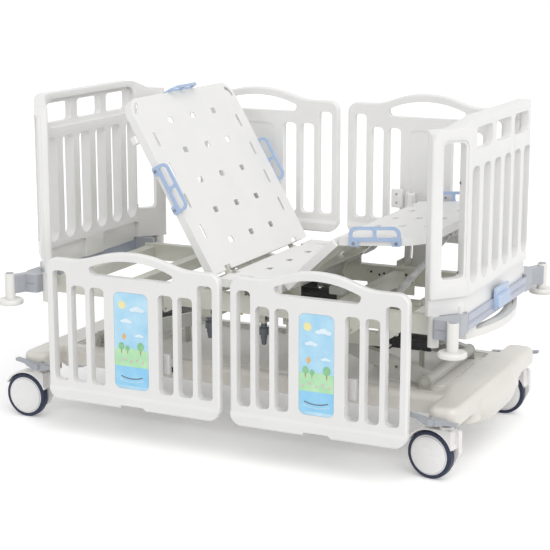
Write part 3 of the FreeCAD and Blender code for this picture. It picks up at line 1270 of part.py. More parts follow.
def rail_outline(width, low, high, shrink=0.0):
    """Side rail outline, X from 0 to its width and Z from 0 to its height."""
    s = shrink
    middle = width / 2
    bottom = 44.0
    top = 36.0
    shoulder = RAIL_SHOULDER - s
    crown = RAIL_HEIGHT - s
    rise = 92.0
    left = [Vector(s, low, bottom), Vector(s, low, shoulder - top), Vector(s + top, low, shoulder),
            Vector(rise, low, shoulder)]
    lean = math.sqrt(0.5)
    edges = [Part.LineSegment(left[0], left[1]).toShape(),
             Part.Arc(left[1], Vector(s + top * (1 - lean), low, shoulder - top * (1 - lean)), left[2]).toShape(),
             Part.LineSegment(left[2], left[3]).toShape()]
    for mirror in (False, True):
        curve = Part.BezierCurve()
        poles = [Vector(rise, low, shoulder), Vector(rise + 75, low, shoulder), Vector(middle - 110, low, crown),
                 Vector(middle, low, crown)]
        if mirror:
            poles = [Vector(width - pole.x, low, pole.z) for pole in reversed(poles)]
        curve.setPoles(poles)
        edges.append(curve.toShape())
    right = [Vector(width - point.x, low, point.z) for point in left]
    edges.append(Part.LineSegment(right[3], right[2]).toShape())
    edges.append(Part.Arc(right[2], Vector(width - s - top * (1 - lean), low, shoulder - top * (1 - lean)),
                          right[1]).toShape())
    edges.append(Part.LineSegment(right[1], right[0]).toShape())
    r = bottom - s
    edges.append(Part.Arc(right[0], Vector(width - s - r * (1 - lean), low, s + r * (1 - lean)),
                          Vector(width - s - r, low, s)).toShape())
    edges.append(Part.LineSegment(Vector(width - s - r, low, s), Vector(s + r, low, s)).toShape())
    edges.append(Part.Arc(Vector(s + r, low, s), Vector(s + r * (1 - lean), low, s + r * (1 - lean)),
                          left[0]).toShape())
    return Part.Face(Part.Wire(edges)).extrude(Y_AXIS * (high - low))


def rail_slots(width):
    """Centres, widths and tops of the six slots of a rail."""
    picture = width * (PICTURE_SHARE / 2 + PICTURE_BAR_SHARE)
    slot = (width / 2 - picture - RAIL_MARGIN - 2 * RAIL_BAR) / 3
    slots = []
    for i in range(3):
        centre = RAIL_MARGIN + slot / 2 + i * (slot + RAIL_BAR)
        top = SLOT_HIGH_OUTER if i == 0 else SLOT_HIGH
        slots.append((centre, slot, top))
        slots.append((width - centre, slot, top))
    return slots


def handle_hole(width):
    """Grip opening with a bowed top edge and rounded ends."""
    middle = width / 2
    half = width * HANDLE_SHARE
    tilt = 2 * math.atan((HANDLE_HIGH - HANDLE_END) / half)
    crown = (half / math.cos(tilt) - HANDLE_CORNER) / math.tan(tilt)
    outline = [(middle - half, HANDLE_LOW), (middle + half, HANDLE_LOW), (middle + half, HANDLE_END),
               (middle, HANDLE_END + half * math.tan(tilt)), (middle - half, HANDLE_END)]
    return rounded("xz", outline, [18, 18, 6, crown, 6], -60, 60)


def rail_panel(span):
    """Raised near-side rail at its own X; the inner face is Y = 0 and the outer face Y = -thick."""
    width = span[1] - span[0]
    face = -RAIL_THICK
    body = rail_outline(width, face, 0.0)
    body = eased(body, 7.0, lambda edge: abs(edge.BoundBox.YMax - edge.BoundBox.YMin) < 0.01)
    ramp = BAND_HEIGHT - BAND_RAMP
    band = rounded("yz", [(face - BAND_SWELL, 0), (BAND_SWELL, 0), (BAND_SWELL, ramp), (0, BAND_HEIGHT),
                          (face, BAND_HEIGHT), (face - BAND_SWELL, ramp)], [8, 8, 4, 0, 0, 4], 0, width)
    band = band.common(rail_outline(width, face - BAND_SWELL - 1, BAND_SWELL + 1, 2.0))
    body = joined([body, band])
    tools = [handle_hole(width)]
    for centre, slot, top in rail_slots(width):
        tools.append(frame_block("xz", centre - slot / 2, centre + slot / 2, SLOT_LOW, top, SLOT_CORNER, -60, 60))
    middle = width / 2
    half = width * PICTURE_SHARE / 2
    for y0, y1 in ((face - 10, face + PICTURE_DEPTH), (-PICTURE_DEPTH, 10)):
        tools.append(frame_block("xz", middle - half, middle + half, PICTURE_LOW, PICTURE_HIGH, PICTURE_CORNER, y0, y1))
    notch = [(middle - NOTCH_HALF, -20), (middle + NOTCH_HALF + NOTCH_SLOPE, -20), (middle + NOTCH_HALF, NOTCH_HEIGHT),
             (middle - NOTCH_HALF, NOTCH_HEIGHT)]
    tools.append(rounded("xz", notch, [0, 0, 6, 6], -60, 60))
    tools.append(block(57, width - 57, face - BAND_SWELL - 1, face - BAND_SWELL + 1, GROOVE_HEIGHT - 1,
                       GROOVE_HEIGHT + 1))
    return cut(body, tools)


def rail_place(shape, side, raised):
    """From the raised near side to either side, raised or lowered."""
    placed = shape.copy() if side < 0 else flip_y(shape)
    if not raised:
        placed.translate(Vector(0, side * RAIL_OUT, -RAIL_DROP))
    return placed


def side_rail(span, side, raised):
    """Rail panel with its four lug plates."""
    panel = rail_panel(span)
    panel.translate(Vector(span[0], -RAIL_RAISED_Y, RAIL_RAISED_BOTTOM))
    rail_y, rail_z = link_pivots()[2:]
    lugs = rail_lugs(rail_middle(span), RAIL_RAISED_Y + PICTURE_DEPTH, rail_y, rail_z, -1)
    return rail_place(joined([panel] + lugs), side, raised)


def rail_link(middle, half_in, half_out, z_drop, side, raised):
    """One link with a pin at each end, between X offsets half_in and half_out."""
    frame_y, frame_z, rail_y, rail_z = link_pivots()
    start = (side * frame_y, frame_z - z_drop)
    if raised:
        end = (side * rail_y, rail_z - z_drop)
    else:
        end = (side * (rail_y + RAIL_OUT), rail_z - RAIL_DROP - z_drop)
    low = middle + half_in
    high = middle + half_out
    bar = stadium("yz", start[0], start[1], end[0], end[1], LINK_RADIUS - 1.5, low, high)
    over = LINK_PLATE + SWING_GAP - 0.5
    pins = [drum(X_AXIS, LINK_PIN, ((low + high) / 2, y, z), high - low + 2 * over) for y, z in (start, end)]
    return joined([bar] + pins)


def rail_links(span, side, raised):
    """Upper pair and lower single link of one rail."""
    middle = rail_middle(span)
    inner = LINK_IN + LINK_PLATE / 2 + SWING_GAP
    outer = LINK_OUT - LINK_PLATE / 2 - SWING_GAP
    upper = [rail_link(middle, inner, outer, 0.0, side, raised),
             rail_link(middle, -outer, -inner, 0.0, side, raised)]
    half = LINK_IN - LINK_PLATE / 2 - SWING_GAP
    lower = rail_link(middle, -half, half, LINK_SPACING, side, raised)
    return group(upper), lower


# ================================================================ release knob

def release_knob():
    """Push knob of the backrest quick release."""
    cap = drum(Y_AXIS, KNOB_RADIUS, (KNOB_X, KNOB_Y - 22, KNOB_Z), 14)
    cap = eased(cap, 3.0, lambda edge: edge.Curve.TypeId == "Part::GeomCircle" and edge.BoundBox.YMax < KNOB_Y - 25)
    stem = Part.makeCylinder(4.0, 34, Vector(KNOB_X, KNOB_Y - 18, KNOB_Z), Y_AXIS)
    return joined([cap, stem])


# ================================================================ build

def build_castors():
    tyre = castor_tyre()
    wheel = castor_wheel()
    housing = castor_housing()
    for name, rest in CASTOR_REST.items():
        x = CASTOR_X if "foot" in name else -CASTOR_X
        y = -CASTOR_Y if "near" in name else CASTOR_Y
        save("castor_%s_housing" % name, castor_frame(housing, x, y, rest))
        save("castor_%s_wheel" % name, castor_frame(wheel, x, y, rest))
        save("castor_%s_tyre" % name, castor_frame(tyre, x, y, rest))


def build_base():
    save("base_frame", base_frame())
    save("base_cover", base_cover())
    save("base_tray", base_tray())
    z = LIFT_Z + LIFT_LEVER
    head = actuator(-lift_mouth(), -LIFT_REAR + 10, 0, z, -1, MOTOR_SPACING, 0, 110)
    foot = flip_x(head)
    save("lift_motors", group([head, foot]))
    for end, name in ((-1, "head"), (1, "foot")):
        shaft = drum(Y_AXIS, BRAKE_SHAFT_RADIUS, (end * BRAKE_X, 0, BRAKE_Z), 2 * PEDAL_Y)
        save("brake_pedals_%s" % name, joined([shaft, pedal(end, -1), pedal(end, 1)]))
    save("lift_arm_head", lift_arm(False))
    save("lift_arm_foot", flip_x(lift_arm(True)))
    rod = push_rod(lift_pin_x(), 0, z, -1, -lift_mouth() + 80)
    save("lift_rod_head", rod)
    save("lift_rod_foot", flip_x(rod))


def build_frame():
    save("bed_frame", bed_frame())
    save("corner_brackets", group(four_corners(corner_bracket())))
    save("corner_posts", group(four_corners(bumper_post()) + four_corners(board_post())))
    save("end_rails", group([end_rail(), flip_x(end_rail())]))
    save("foot_grip", foot_grip())
    save("foot_latch", foot_latch())
    for name, disc in zip(("near_foot", "far_foot", "near_head", "far_head"), four_corners(bumper_disc())):
        save("bumper_disc_%s" % name, disc)
    save("foot_board", board())
    save("head_board", flip_x(board()))
    save("release_knob", release_knob())


def build_deck():
    z = DECK_TOP - DECK_THICK / 2
    seat = deck_panel(BACK_HINGE_X + BACK_GAP, THIGH_HINGE_X - THIGH_GAP, 6.0, (35.0,), (20.0,), True,
                      BACK_ROD_Y)
    seat.translate(Vector(0, 0, z))
    save("seat_panel", seat)
    back = deck_panel(BACK_GAP, BACK_LENGTH, BACK_CORNER, BACK_ROWS, BACK_EDGE_ROWS, False, BACK_ROD_Y)
    save("backrest_panel", to_backrest(corner_slots(back, BACK_LENGTH)))
    save("backrest_frame", backrest_frame())
    save("backrest_retainers", backrest_retainers())
    thigh = deck_panel(THIGH_GAP, THIGH_LENGTH - KNEE_GAP, 6.0, (70.0, 150.0), (), True, KNEE_ROD_Y)
    save("thigh_panel", to_thigh(thigh))
    save("knee_frame", knee_frame())
    save("calf_panel", calf_panel())
    save("calf_retainers", calf_retainers())
    rod_z = z - DECK_LEVER
    back_lean = math.radians(BACK_REST - BACK_MAX / 2)
    back_pin = BACK_HINGE_X - DECK_LEVER * math.tan(back_lean)
    save("backrest_rod", push_rod(back_pin, BACK_ROD_Y, rod_z, -1, 64.0))
    knee_lean = math.radians(THIGH_REST - THIGH_MAX / 2)
    knee_pin = THIGH_HINGE_X + DECK_LEVER * math.tan(knee_lean)
    save("knee_rod", push_rod(knee_pin, KNEE_ROD_Y, rod_z, 1, 60.0))
    back_motor = actuator(22.0, 238.0, BACK_ROD_Y, rod_z, -1, 0, -DECK_MOTOR_SPACING, 135)
    knee_motor = actuator(112.0, -145.0, KNEE_ROD_Y, rod_z, 1, 0, -DECK_MOTOR_SPACING, 125)
    save("deck_motors", group([back_motor, knee_motor]))
    tube, rod = strut_pieces()
    save("strut_tube", tube)
    save("strut_rod", rod)


def build_rails():
    for end, span in (("head", RAIL_HEAD), ("foot", RAIL_FOOT)):
        for name, side, raised in (("near", -1, False), ("far", 1, True)):
            label = "%s_%s" % (name, end)
            save("rail_%s" % label, side_rail(span, side, raised))
            upper, lower = rail_links(span, side, raised)
            save("rail_%s_upper_links" % label, upper)
            save("rail_%s_lower_link" % label, lower)


build_castors()
build_base()
build_frame()
build_deck()
build_rails()
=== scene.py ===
import bpy
import math
from mathutils import Matrix, Vector


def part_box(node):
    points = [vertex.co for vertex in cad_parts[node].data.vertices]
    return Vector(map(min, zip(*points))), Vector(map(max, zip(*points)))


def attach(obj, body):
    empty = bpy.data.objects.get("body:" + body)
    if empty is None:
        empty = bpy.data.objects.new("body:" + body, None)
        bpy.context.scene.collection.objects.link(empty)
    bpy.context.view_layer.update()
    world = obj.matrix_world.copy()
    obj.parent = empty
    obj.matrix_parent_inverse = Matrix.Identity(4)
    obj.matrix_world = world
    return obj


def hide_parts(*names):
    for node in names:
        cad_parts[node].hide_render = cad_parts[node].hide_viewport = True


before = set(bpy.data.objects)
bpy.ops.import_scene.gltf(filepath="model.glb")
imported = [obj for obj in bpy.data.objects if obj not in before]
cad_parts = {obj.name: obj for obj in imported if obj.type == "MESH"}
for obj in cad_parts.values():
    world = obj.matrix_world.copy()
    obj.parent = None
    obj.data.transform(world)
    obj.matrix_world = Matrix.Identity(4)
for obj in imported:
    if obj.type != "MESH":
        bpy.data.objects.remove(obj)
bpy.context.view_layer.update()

# ---- Camera and studio ------------------------------------------------------------------------
# A long lens off the near foot corner, a little above the raised boards. A white surround gives
# the even light, one very broad lamp over the foot end gives the faint shadows on the pale floor.
CAMERA_LENS = 100.64
CAMERA_AT = (2.1815, -4.550, 1.603)
CAMERA_DOWN = 12.452
CAMERA_ROUND = 25.618
camera_data = bpy.data.cameras.new("studio_camera")
camera_data.lens = CAMERA_LENS
camera_data.sensor_width = 36.0
camera = bpy.data.objects.new("studio_camera", camera_data)
camera.location = CAMERA_AT
camera.rotation_euler = (math.radians(90.0 - CAMERA_DOWN), 0.0, math.radians(CAMERA_ROUND))
bpy.context.scene.collection.objects.link(camera)
bpy.context.scene.camera = camera
bpy.context.scene.view_settings.view_transform = "Standard"

SURROUND_STRENGTH = 0.64
world = bpy.data.worlds.new("studio_surround")
bpy.context.scene.world = world
world.use_nodes = True
surround = world.node_tree
surround.nodes.clear()
path = surround.nodes.new("ShaderNodeLightPath")
seen = surround.nodes.new("ShaderNodeMath")
seen.operation = "MAXIMUM"
seen_clear = surround.nodes.new("ShaderNodeMath")
seen_clear.operation = "MAXIMUM"
surround.links.new(path.outputs["Is Camera Ray"], seen_clear.inputs[0])
surround.links.new(path.outputs["Is Transmission Ray"], seen_clear.inputs[1])
surround.links.new(seen_clear.outputs[0], seen.inputs[0])
surround.links.new(path.outputs["Is Glossy Ray"], seen.inputs[1])
lit = surround.nodes.new("ShaderNodeBackground")
lit.inputs["Color"].default_value = (0.985, 0.99, 1.0, 1.0)
lit.inputs["Strength"].default_value = SURROUND_STRENGTH
shown = surround.nodes.new("ShaderNodeBackground")
shown.inputs["Color"].default_value = (1.0, 1.0, 1.0, 1.0)
shown.inputs["Strength"].default_value = 1.0
chosen = surround.nodes.new("ShaderNodeMixShader")
sky_out = surround.nodes.new("ShaderNodeOutputWorld")
surround.links.new(seen.outputs[0], chosen.inputs[0])
surround.links.new(lit.outputs[0], chosen.inputs[1])
surround.links.new(shown.outputs[0], chosen.inputs[2])
surround.links.new(chosen.outputs[0], sky_out.inputs["Surface"])

LAMP_POWER = 1.55
LAMP_SPREAD = 60.0
LAMP_FROM = (0.52, -0.43, 0.74)
lamp_data = bpy.data.lights.new("broad_lamp", "SUN")
lamp_data.energy = LAMP_POWER
lamp_data.angle = math.radians(LAMP_SPREAD)
lamp_data.color = (1.0, 0.995, 0.985)
lamp = bpy.data.objects.new("broad_lamp", lamp_data)
lamp.rotation_euler = Vector(LAMP_FROM).to_track_quat("Z", "Y").to_euler()
bpy.context.scene.collection.objects.link(lamp)

FLOOR_SIZE = 60.0
FLOOR_LIFT = 0.22
bpy.ops.object.select_all(action="DESELECT")
bpy.ops.mesh.primitive_plane_add(size=FLOOR_SIZE, location=(0.0, 0.0, 0.0))
floor = bpy.context.object
floor.name = "studio_floor"
floor_paint = bpy.data.materials.new("studio_floor_paint")
floor_paint.use_nodes = True
floor_nodes = floor_paint.node_tree.nodes
floor_shader = floor_nodes["Principled BSDF"]
floor_shader.inputs["Base Color"].default_value = (0.93, 0.93, 0.93, 1.0)
floor_shader.inputs["Roughness"].default_value = 0.95
floor_shader.inputs["Specular IOR Level"].default_value = 0.1
floor_path = floor_nodes.new("ShaderNodeLightPath")
floor_seen = floor_nodes.new("ShaderNodeMath")
floor_seen.operation = "MAXIMUM"
floor_clear = floor_nodes.new("ShaderNodeMath")
floor_clear.operation = "MAXIMUM"
floor_lift = floor_nodes.new("ShaderNodeMath")
floor_lift.operation = "MULTIPLY"
floor_lift.inputs[1].default_value = FLOOR_LIFT
floor_shader.inputs["Emission Color"].default_value = (1.0, 1.0, 1.0, 1.0)
floor_links = floor_paint.node_tree.links
floor_links.new(floor_path.outputs["Is Camera Ray"], floor_seen.inputs[0])
floor_links.new(floor_path.outputs["Is Transmission Ray"], floor_seen.inputs[1])
floor_links.new(floor_seen.outputs[0], floor_clear.inputs[0])
floor_links.new(floor_path.outputs["Is Glossy Ray"], floor_clear.inputs[1])
floor_links.new(floor_clear.outputs[0], floor_lift.inputs[0])
floor_links.new(floor_lift.outputs[0], floor_shader.inputs["Emission Strength"])
floor.data.materials.append(floor_paint)


# ---- Base frame ---------------------------------------------------------------------------------
# Welded steel tubes with the four castor sockets, powder coated in a grey olive. The skin made
# here serves every finish: two close tones in patches, uneven gloss, dust and a fine grain.
SPECK_SCALE = 90.0
SMEAR_SCALE = 22.0
DUST_TONE = (0.42, 0.40, 0.36, 1.0)


def build_surface_skin():
    group = bpy.data.node_groups.new("surface_skin", "ShaderNodeTree")
    face = group.interface
    for name, kind, value in (("Vector", "NodeSocketVector", None), ("Tone", "NodeSocketColor", None),
                              ("Shade", "NodeSocketColor", None), ("Patch", "NodeSocketFloat", 6.0),
                              ("Grain", "NodeSocketFloat", 500.0), ("Gloss", "NodeSocketFloat", 0.35),
                              ("Gloss Spread", "NodeSocketFloat", 0.1), ("Dust", "NodeSocketFloat", 0.0)):
        socket = face.new_socket(name=name, in_out="INPUT", socket_type=kind)
        if value is not None:
            socket.default_value = value
    for name, kind in (("Color", "NodeSocketColor"), ("Roughness", "NodeSocketFloat"),
                       ("Height", "NodeSocketFloat")):
        face.new_socket(name=name, in_out="OUTPUT", socket_type=kind)
    nodes, links = group.nodes, group.links
    given = nodes.new("NodeGroupInput")
    gives = nodes.new("NodeGroupOutput")

    patch = nodes.new("ShaderNodeTexNoise")
    patch.inputs["Detail"].default_value = 4.0
    links.new(given.outputs["Vector"], patch.inputs["Vector"])
    links.new(given.outputs["Patch"], patch.inputs["Scale"])
    spread = nodes.new("ShaderNodeMapRange")
    spread.inputs["From Min"].default_value = 0.35
    spread.inputs["From Max"].default_value = 0.7
    links.new(patch.outputs["Fac"], spread.inputs["Value"])
    tone = nodes.new("ShaderNodeMix")
    tone.data_type = "RGBA"
    links.new(spread.outputs["Result"], tone.inputs["Factor"])
    links.new(given.outputs["Tone"], tone.inputs[6])
    links.new(given.outputs["Shade"], tone.inputs[7])

    speck = nodes.new("ShaderNodeTexNoise")
    speck.inputs["Scale"].default_value = SPECK_SCALE
    speck.inputs["Detail"].default_value = 6.0
    links.new(given.outputs["Vector"], speck.inputs["Vector"])
    dusty = nodes.new("ShaderNodeMapRange")
    dusty.inputs["From Min"].default_value = 0.5
    dusty.inputs["From Max"].default_value = 0.75
    links.new(speck.outputs["Fac"], dusty.inputs["Value"])
    amount = nodes.new("ShaderNodeMath")
    amount.operation = "MULTIPLY"
    links.new(dusty.outputs["Result"], amount.inputs[0])
    links.new(given.outputs["Dust"], amount.inputs[1])
    dust = nodes.new("ShaderNodeMix")
    dust.data_type = "RGBA"
    dust.inputs[7].default_value = DUST_TONE
    links.new(amount.outputs[0], dust.inputs["Factor"])
    links.new(tone.outputs[2], dust.inputs[6])
    links.new(dust.outputs[2], gives.inputs["Color"])

    smear = nodes.new("ShaderNodeTexNoise")
    smear.inputs["Scale"].default_value = SMEAR_SCALE
    smear.inputs["Detail"].default_value = 5.0
    links.new(given.outputs["Vector"], smear.inputs["Vector"])
    centred = nodes.new("ShaderNodeMath")
    centred.operation = "SUBTRACT"
    centred.inputs[1].default_value = 0.5
    links.new(smear.outputs["Fac"], centred.inputs[0])
    gloss = nodes.new("ShaderNodeMath")
    gloss.operation = "MULTIPLY_ADD"
    links.new(centred.outputs[0], gloss.inputs[0])
    links.new(given.outputs["Gloss Spread"], gloss.inputs[1])
    links.new(given.outputs["Gloss"], gloss.inputs[2])
    links.new(gloss.outputs[0], gives.inputs["Roughness"])

    grain = nodes.new("ShaderNodeTexNoise")
    grain.inputs["Detail"].default_value = 2.0
    links.new(given.outputs["Vector"], grain.inputs["Vector"])
    links.new(given.outputs["Grain"], grain.inputs["Scale"])
    links.new(grain.outputs["Fac"], gives.inputs["Height"])
    return group


SURFACE_SKIN = build_surface_skin()


COAT_ROUGHNESS = 0.12
BUMP_DISTANCE = 0.001


def coated(name, tone, shade, gloss=0.35, spread=0.12, grain=500.0, depth=0.02, patch=6.0, dust=0.0,
           coat=0.0, metal=0.0, slot=None):
    """A plastic or painted finish; depth is how strongly its fine skin shows, slot the record's."""
    material = bpy.data.materials.new(name)
    material["slot"] = slot or name
    material.use_nodes = True
    nodes, links = material.node_tree.nodes, material.node_tree.links
    shader = nodes["Principled BSDF"]
    shader.inputs["Metallic"].default_value = metal
    shader.inputs["Coat Weight"].default_value = coat
    shader.inputs["Coat Roughness"].default_value = COAT_ROUGHNESS
    place = nodes.new("ShaderNodeTexCoord")
    skin = nodes.new("ShaderNodeGroup")
    skin.name = "skin"
    skin.node_tree = SURFACE_SKIN
    skin.inputs["Tone"].default_value = (*tone, 1.0)
    skin.inputs["Shade"].default_value = (*shade, 1.0)
    skin.inputs["Patch"].default_value = patch
    skin.inputs["Grain"].default_value = grain
    skin.inputs["Gloss"].default_value = gloss
    skin.inputs["Gloss Spread"].default_value = spread
    skin.inputs["Dust"].default_value = dust
    bump = nodes.new("ShaderNodeBump")
    bump.inputs["Strength"].default_value = depth
    bump.inputs["Distance"].default_value = BUMP_DISTANCE
    links.new(place.outputs["Object"], skin.inputs["Vector"])
    links.new(skin.outputs["Color"], shader.inputs["Base Color"])
    links.new(skin.outputs["Roughness"], shader.inputs["Roughness"])
    links.new(skin.outputs["Height"], bump.inputs["Height"])
    links.new(bump.outputs["Normal"], shader.inputs["Normal"])
    return material


def finish(material, *names):
    """Give CAD nodes their finish."""
    for name in names:
        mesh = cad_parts[name].data
        mesh.materials.clear()
        mesh.materials.append(material)


FRAME_OLIVE = coated("frame_olive", (0.51, 0.51, 0.45), (0.47, 0.47, 0.415), gloss=0.40, grain=1400.0,
                     depth=0.10, dust=0.08)
finish(FRAME_OLIVE, "base_frame")

# ---- Base cover and tray ----------------------------------------------------------------------
# A large vacuum-formed shell in glossy cream over the frame, with a shallow lift-out tray between
# the lift arms. Round black plugs close the holes of its fixing screws; each end swells to a belly.
COVER_CREAM = coated("cover_cream", (0.735, 0.71, 0.655), (0.705, 0.68, 0.63), gloss=0.30, coat=0.3,
                     dust=0.03, grain=1600.0, depth=0.004)
# The tray's tone is set paler than its real cream: painted light for the shade the deck and lift arms cast
# on it.
LIT_TRAY_CREAM = coated("tray_cream", (0.92, 0.905, 0.87), (0.88, 0.865, 0.83), gloss=0.42, dust=0.08)
PLUG_BLACK = coated("plug_black", (0.020, 0.020, 0.022), (0.032, 0.032, 0.034), gloss=0.45, grain=900.0,
                    depth=0.1, slot="motor_black")
finish(COVER_CREAM, "base_cover")
finish(LIT_TRAY_CREAM, "base_tray")


def begin(add, name, **settings):
    """Add a primitive with nothing else selected, and enter edit mode with all of it selected."""
    bpy.ops.object.select_all(action="DESELECT")
    add(**settings)
    piece = bpy.context.object
    piece.name = name
    piece.data.name = name
    bpy.ops.object.transform_apply(location=False, rotation=False, scale=True)
    bpy.ops.object.mode_set(mode="EDIT")
    bpy.ops.mesh.select_mode(type="VERT")
    bpy.ops.mesh.select_all(action="SELECT")
    return piece


def pick_faces(piece, wanted):
    """Select only the faces that pass a test, and stay in edit mode."""
    bpy.ops.mesh.select_mode(type="FACE")
    bpy.ops.mesh.select_all(action="DESELECT")
    bpy.ops.object.mode_set(mode="OBJECT")
    for face in piece.data.polygons:
        face.select = wanted(face)
    bpy.ops.object.mode_set(mode="EDIT")


def settle(piece, material, body, place=None, smooth=35.0):
    """Leave edit mode, put the piece in its place, and give it its finish and the body it rides on."""
    if piece.mode == "EDIT":
        bpy.ops.object.mode_set(mode="OBJECT")
    bpy.ops.object.transform_apply(location=True, rotation=True, scale=True)
    if place is not None:
        piece.data.transform(place)
    bpy.ops.object.shade_smooth_by_angle(angle=math.radians(smooth))
    piece.data.materials.clear()
    piece.data.materials.append(material)
    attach(piece, body)
    return piece


def disc_plug(name, radius, thick, material, body, place, dish=0.3):
    """A round cap with an eased rim and a shallow dish; drawn on the origin, its face towards +Z."""
    piece = begin(bpy.ops.mesh.primitive_cylinder_add, name, vertices=32, radius=radius, depth=thick,
                  location=(0.0, 0.0, thick / 2))
    bpy.ops.mesh.bevel(offset=thick * 0.35, segments=3, affect="EDGES")
    pick_faces(piece, lambda face: face.normal.z > 0.99 and face.center.z > thick * 0.9)
    bpy.ops.mesh.inset(thickness=radius * 0.22)
    bpy.ops.mesh.inset(thickness=radius * 0.10, depth=-thick * dish)
    return settle(piece, material, body, place)


def facing(centre, direction):
    """The matrix that puts a piece at a point with its own +Z along a direction."""
    turn = Vector(direction).to_track_quat("Z", "Y").to_matrix().to_4x4()
    return Matrix.Translation(Vector(centre)) @ turn


def eased_block(name, low, high, ease, material, body, place=None, segments=3):
    """A block between two corners with rounded edges."""
    low, high = Vector(low), Vector(high)
    piece = begin(bpy.ops.mesh.primitive_cube_add, name, size=1.0, location=(low + high) / 2,
                  scale=high - low)
    bpy.ops.mesh.bevel(offset=ease, segments=segments, affect="EDGES")
    return settle(piece, material, body, place)


COVER_PLUG_RADIUS = 0.009
COVER_PLUG_THICK = 0.003
COVER_PLUG_Y = 0.292
COVER_PLUG_Z = 0.205
COVER_PLUGS = ((-1, 1, 0.20), (-1, 1, 0.52), (-1, -1, 0.20), (-1, -1, 0.52), (1, 1, 0.20), (1, -1, 0.20))
low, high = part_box("base_cover")
for side, end, out in COVER_PLUGS:
    x = (high.x if end > 0 else low.x) - end * out
    name = "cover_plug_%s_%s_%d" % ("near" if side < 0 else "far", "foot" if end > 0 else "head", out * 100)
    disc_plug(name, COVER_PLUG_RADIUS, COVER_PLUG_THICK, PLUG_BLACK, "base",
              facing((x, side * COVER_PLUG_Y, COVER_PLUG_Z), (0.0, side, 0.0)))

BELLY_DEEP = 0.118
BELLY_TALL = 0.128
BELLY_STRAIGHT = 0.16
BELLY_STEPS = ((0.035, 0.97), (0.035, 0.92), (0.030, 0.86), (0.025, 0.78), (0.018, 0.66), (0.008, 0.5))
BELLY_HEART = (-0.02, -0.035, 0.0)
BELLY_AT = (low.x + high.x) / 2
BELLY_OUT = 0.7365
BELLY_Z = 0.169


def end_belly(name, end):
    """The swollen lower front of one end of the shell, tapering up towards the castors."""
    belly = begin(bpy.ops.mesh.primitive_cylinder_add, name, vertices=48, radius=0.5, depth=BELLY_STRAIGHT,
                  location=(0.0, 0.0, 0.0), scale=(BELLY_DEEP, BELLY_TALL, 1.0))
    for sign in (-1, 1):
        pick_faces(belly, lambda face: face.normal.z * sign > 0.99)
        for step, shrink in BELLY_STEPS:
            bpy.ops.mesh.extrude_region_move(TRANSFORM_OT_translate={"value": (0.0, 0.0, sign * step)})
            bpy.ops.transform.resize(value=(shrink, shrink, 1.0), center_override=BELLY_HEART)
    upright = Matrix.Rotation(math.radians(-90.0), 4, "X")
    turn = Matrix.Rotation(0.0 if end > 0 else math.pi, 4, "Z")
    place = Matrix.Translation((BELLY_AT + end * BELLY_OUT, 0.0, BELLY_Z)) @ turn @ upright
    return settle(belly, COVER_CREAM, "base", place, smooth=50.0)


end_belly("cover_belly_foot", 1)
end_belly("cover_belly_head", -1)

# ---- Brake pedals -------------------------------------------------------------------------------
# Cast pedals keyed to a cross shaft at each end, painted grey. A round cap covers the end of the
# shaft and holds the pedal on.
PEDAL_GREY = coated("pedal_grey", (0.42, 0.44, 0.47), (0.37, 0.39, 0.42), gloss=0.40, grain=1200.0,
                    depth=0.10)
finish(PEDAL_GREY, "brake_pedals_foot", "brake_pedals_head")
BED_SHIFT = 0.0185
BRAKE_X = 0.697
BRAKE_Z = 0.196
for end, body in (("foot", "foot_brake"), ("head", "head_brake")):
    low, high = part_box("brake_pedals_" + end)
    hub = (BRAKE_X if end == "foot" else -BRAKE_X) + BED_SHIFT
    for side, y in (("near", low.y), ("far", high.y)):
        out = -1.0 if side == "near" else 1.0
        disc_plug("pedal_cap_%s_%s" % (side, end), 0.0115, 0.004, PEDAL_GREY, body,
                  facing((hub, y, BRAKE_Z), (0.0, out, 0.0)))

# ---- Castors ------------------------------------------------------------------------------------
# Twin-wall wheels of white nylon with a navy rubber tread, in a moulded housing that turns on its
# stem. A dished cap with a raised centre snaps into the open side of each wheel.
HOUSING_WHITE = coated("housing_white", (0.84, 0.82, 0.81), (0.80, 0.785, 0.775), gloss=0.30, dust=0.05,
                       coat=0.2)
WHEEL_WHITE = coated("wheel_white", (0.88, 0.87, 0.865), (0.85, 0.84, 0.835), gloss=0.28, dust=0.03,
                     coat=0.2)
TYRE_NAVY = coated("tyre_navy", (0.010, 0.018, 0.050), (0.014, 0.025, 0.062), gloss=0.46, grain=700.0,
                   depth=0.12, dust=0.05)
CASTORS = {"near_head": 0.0, "near_foot": -10.0, "far_head": 4.0, "far_foot": 0.0}
CAP_RADIUS = 0.058
CAP_THICK = 0.004
CAP_STEPS = ((0.002, 0.0), (0.0015, -0.0012), (0.016, 0.0), (0.002, -0.0006), (0.012, 0.0), (0.002, 0.0006))
WHEEL_HALF = 0.014


def wheel_cap(name, place, body):
    """Dished cap with a rim, a step and a domed centre, drawn on the origin and facing +Z."""
    cap = begin(bpy.ops.mesh.primitive_cylinder_add, name, vertices=64, radius=CAP_RADIUS, depth=CAP_THICK,
                location=(0.0, 0.0, CAP_THICK / 2))
    bpy.ops.mesh.bevel(offset=0.0012, segments=2, affect="EDGES")
    pick_faces(cap, lambda face: face.normal.z > 0.99 and face.center.z > CAP_THICK * 0.9)
    for inset, depth in CAP_STEPS:
        bpy.ops.mesh.inset(thickness=inset, depth=depth)
    return settle(cap, WHEEL_WHITE, body, place, smooth=40.0)


for name, rest in CASTORS.items():
    finish(HOUSING_WHITE, "castor_%s_housing" % name)
    finish(WHEEL_WHITE, "castor_%s_wheel" % name)
    finish(TYRE_NAVY, "castor_%s_tyre" % name)
    low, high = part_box("castor_%s_wheel" % name)
    turn = Matrix.Rotation(math.radians(rest), 4, "Z")
    outward = turn @ Vector((0.0, -1.0, 0.0))
    middle = (low + high) / 2
    wheel_cap("castor_%s_cap" % name, facing(middle + outward * WHEEL_HALF, outward), "wheel_" + name)

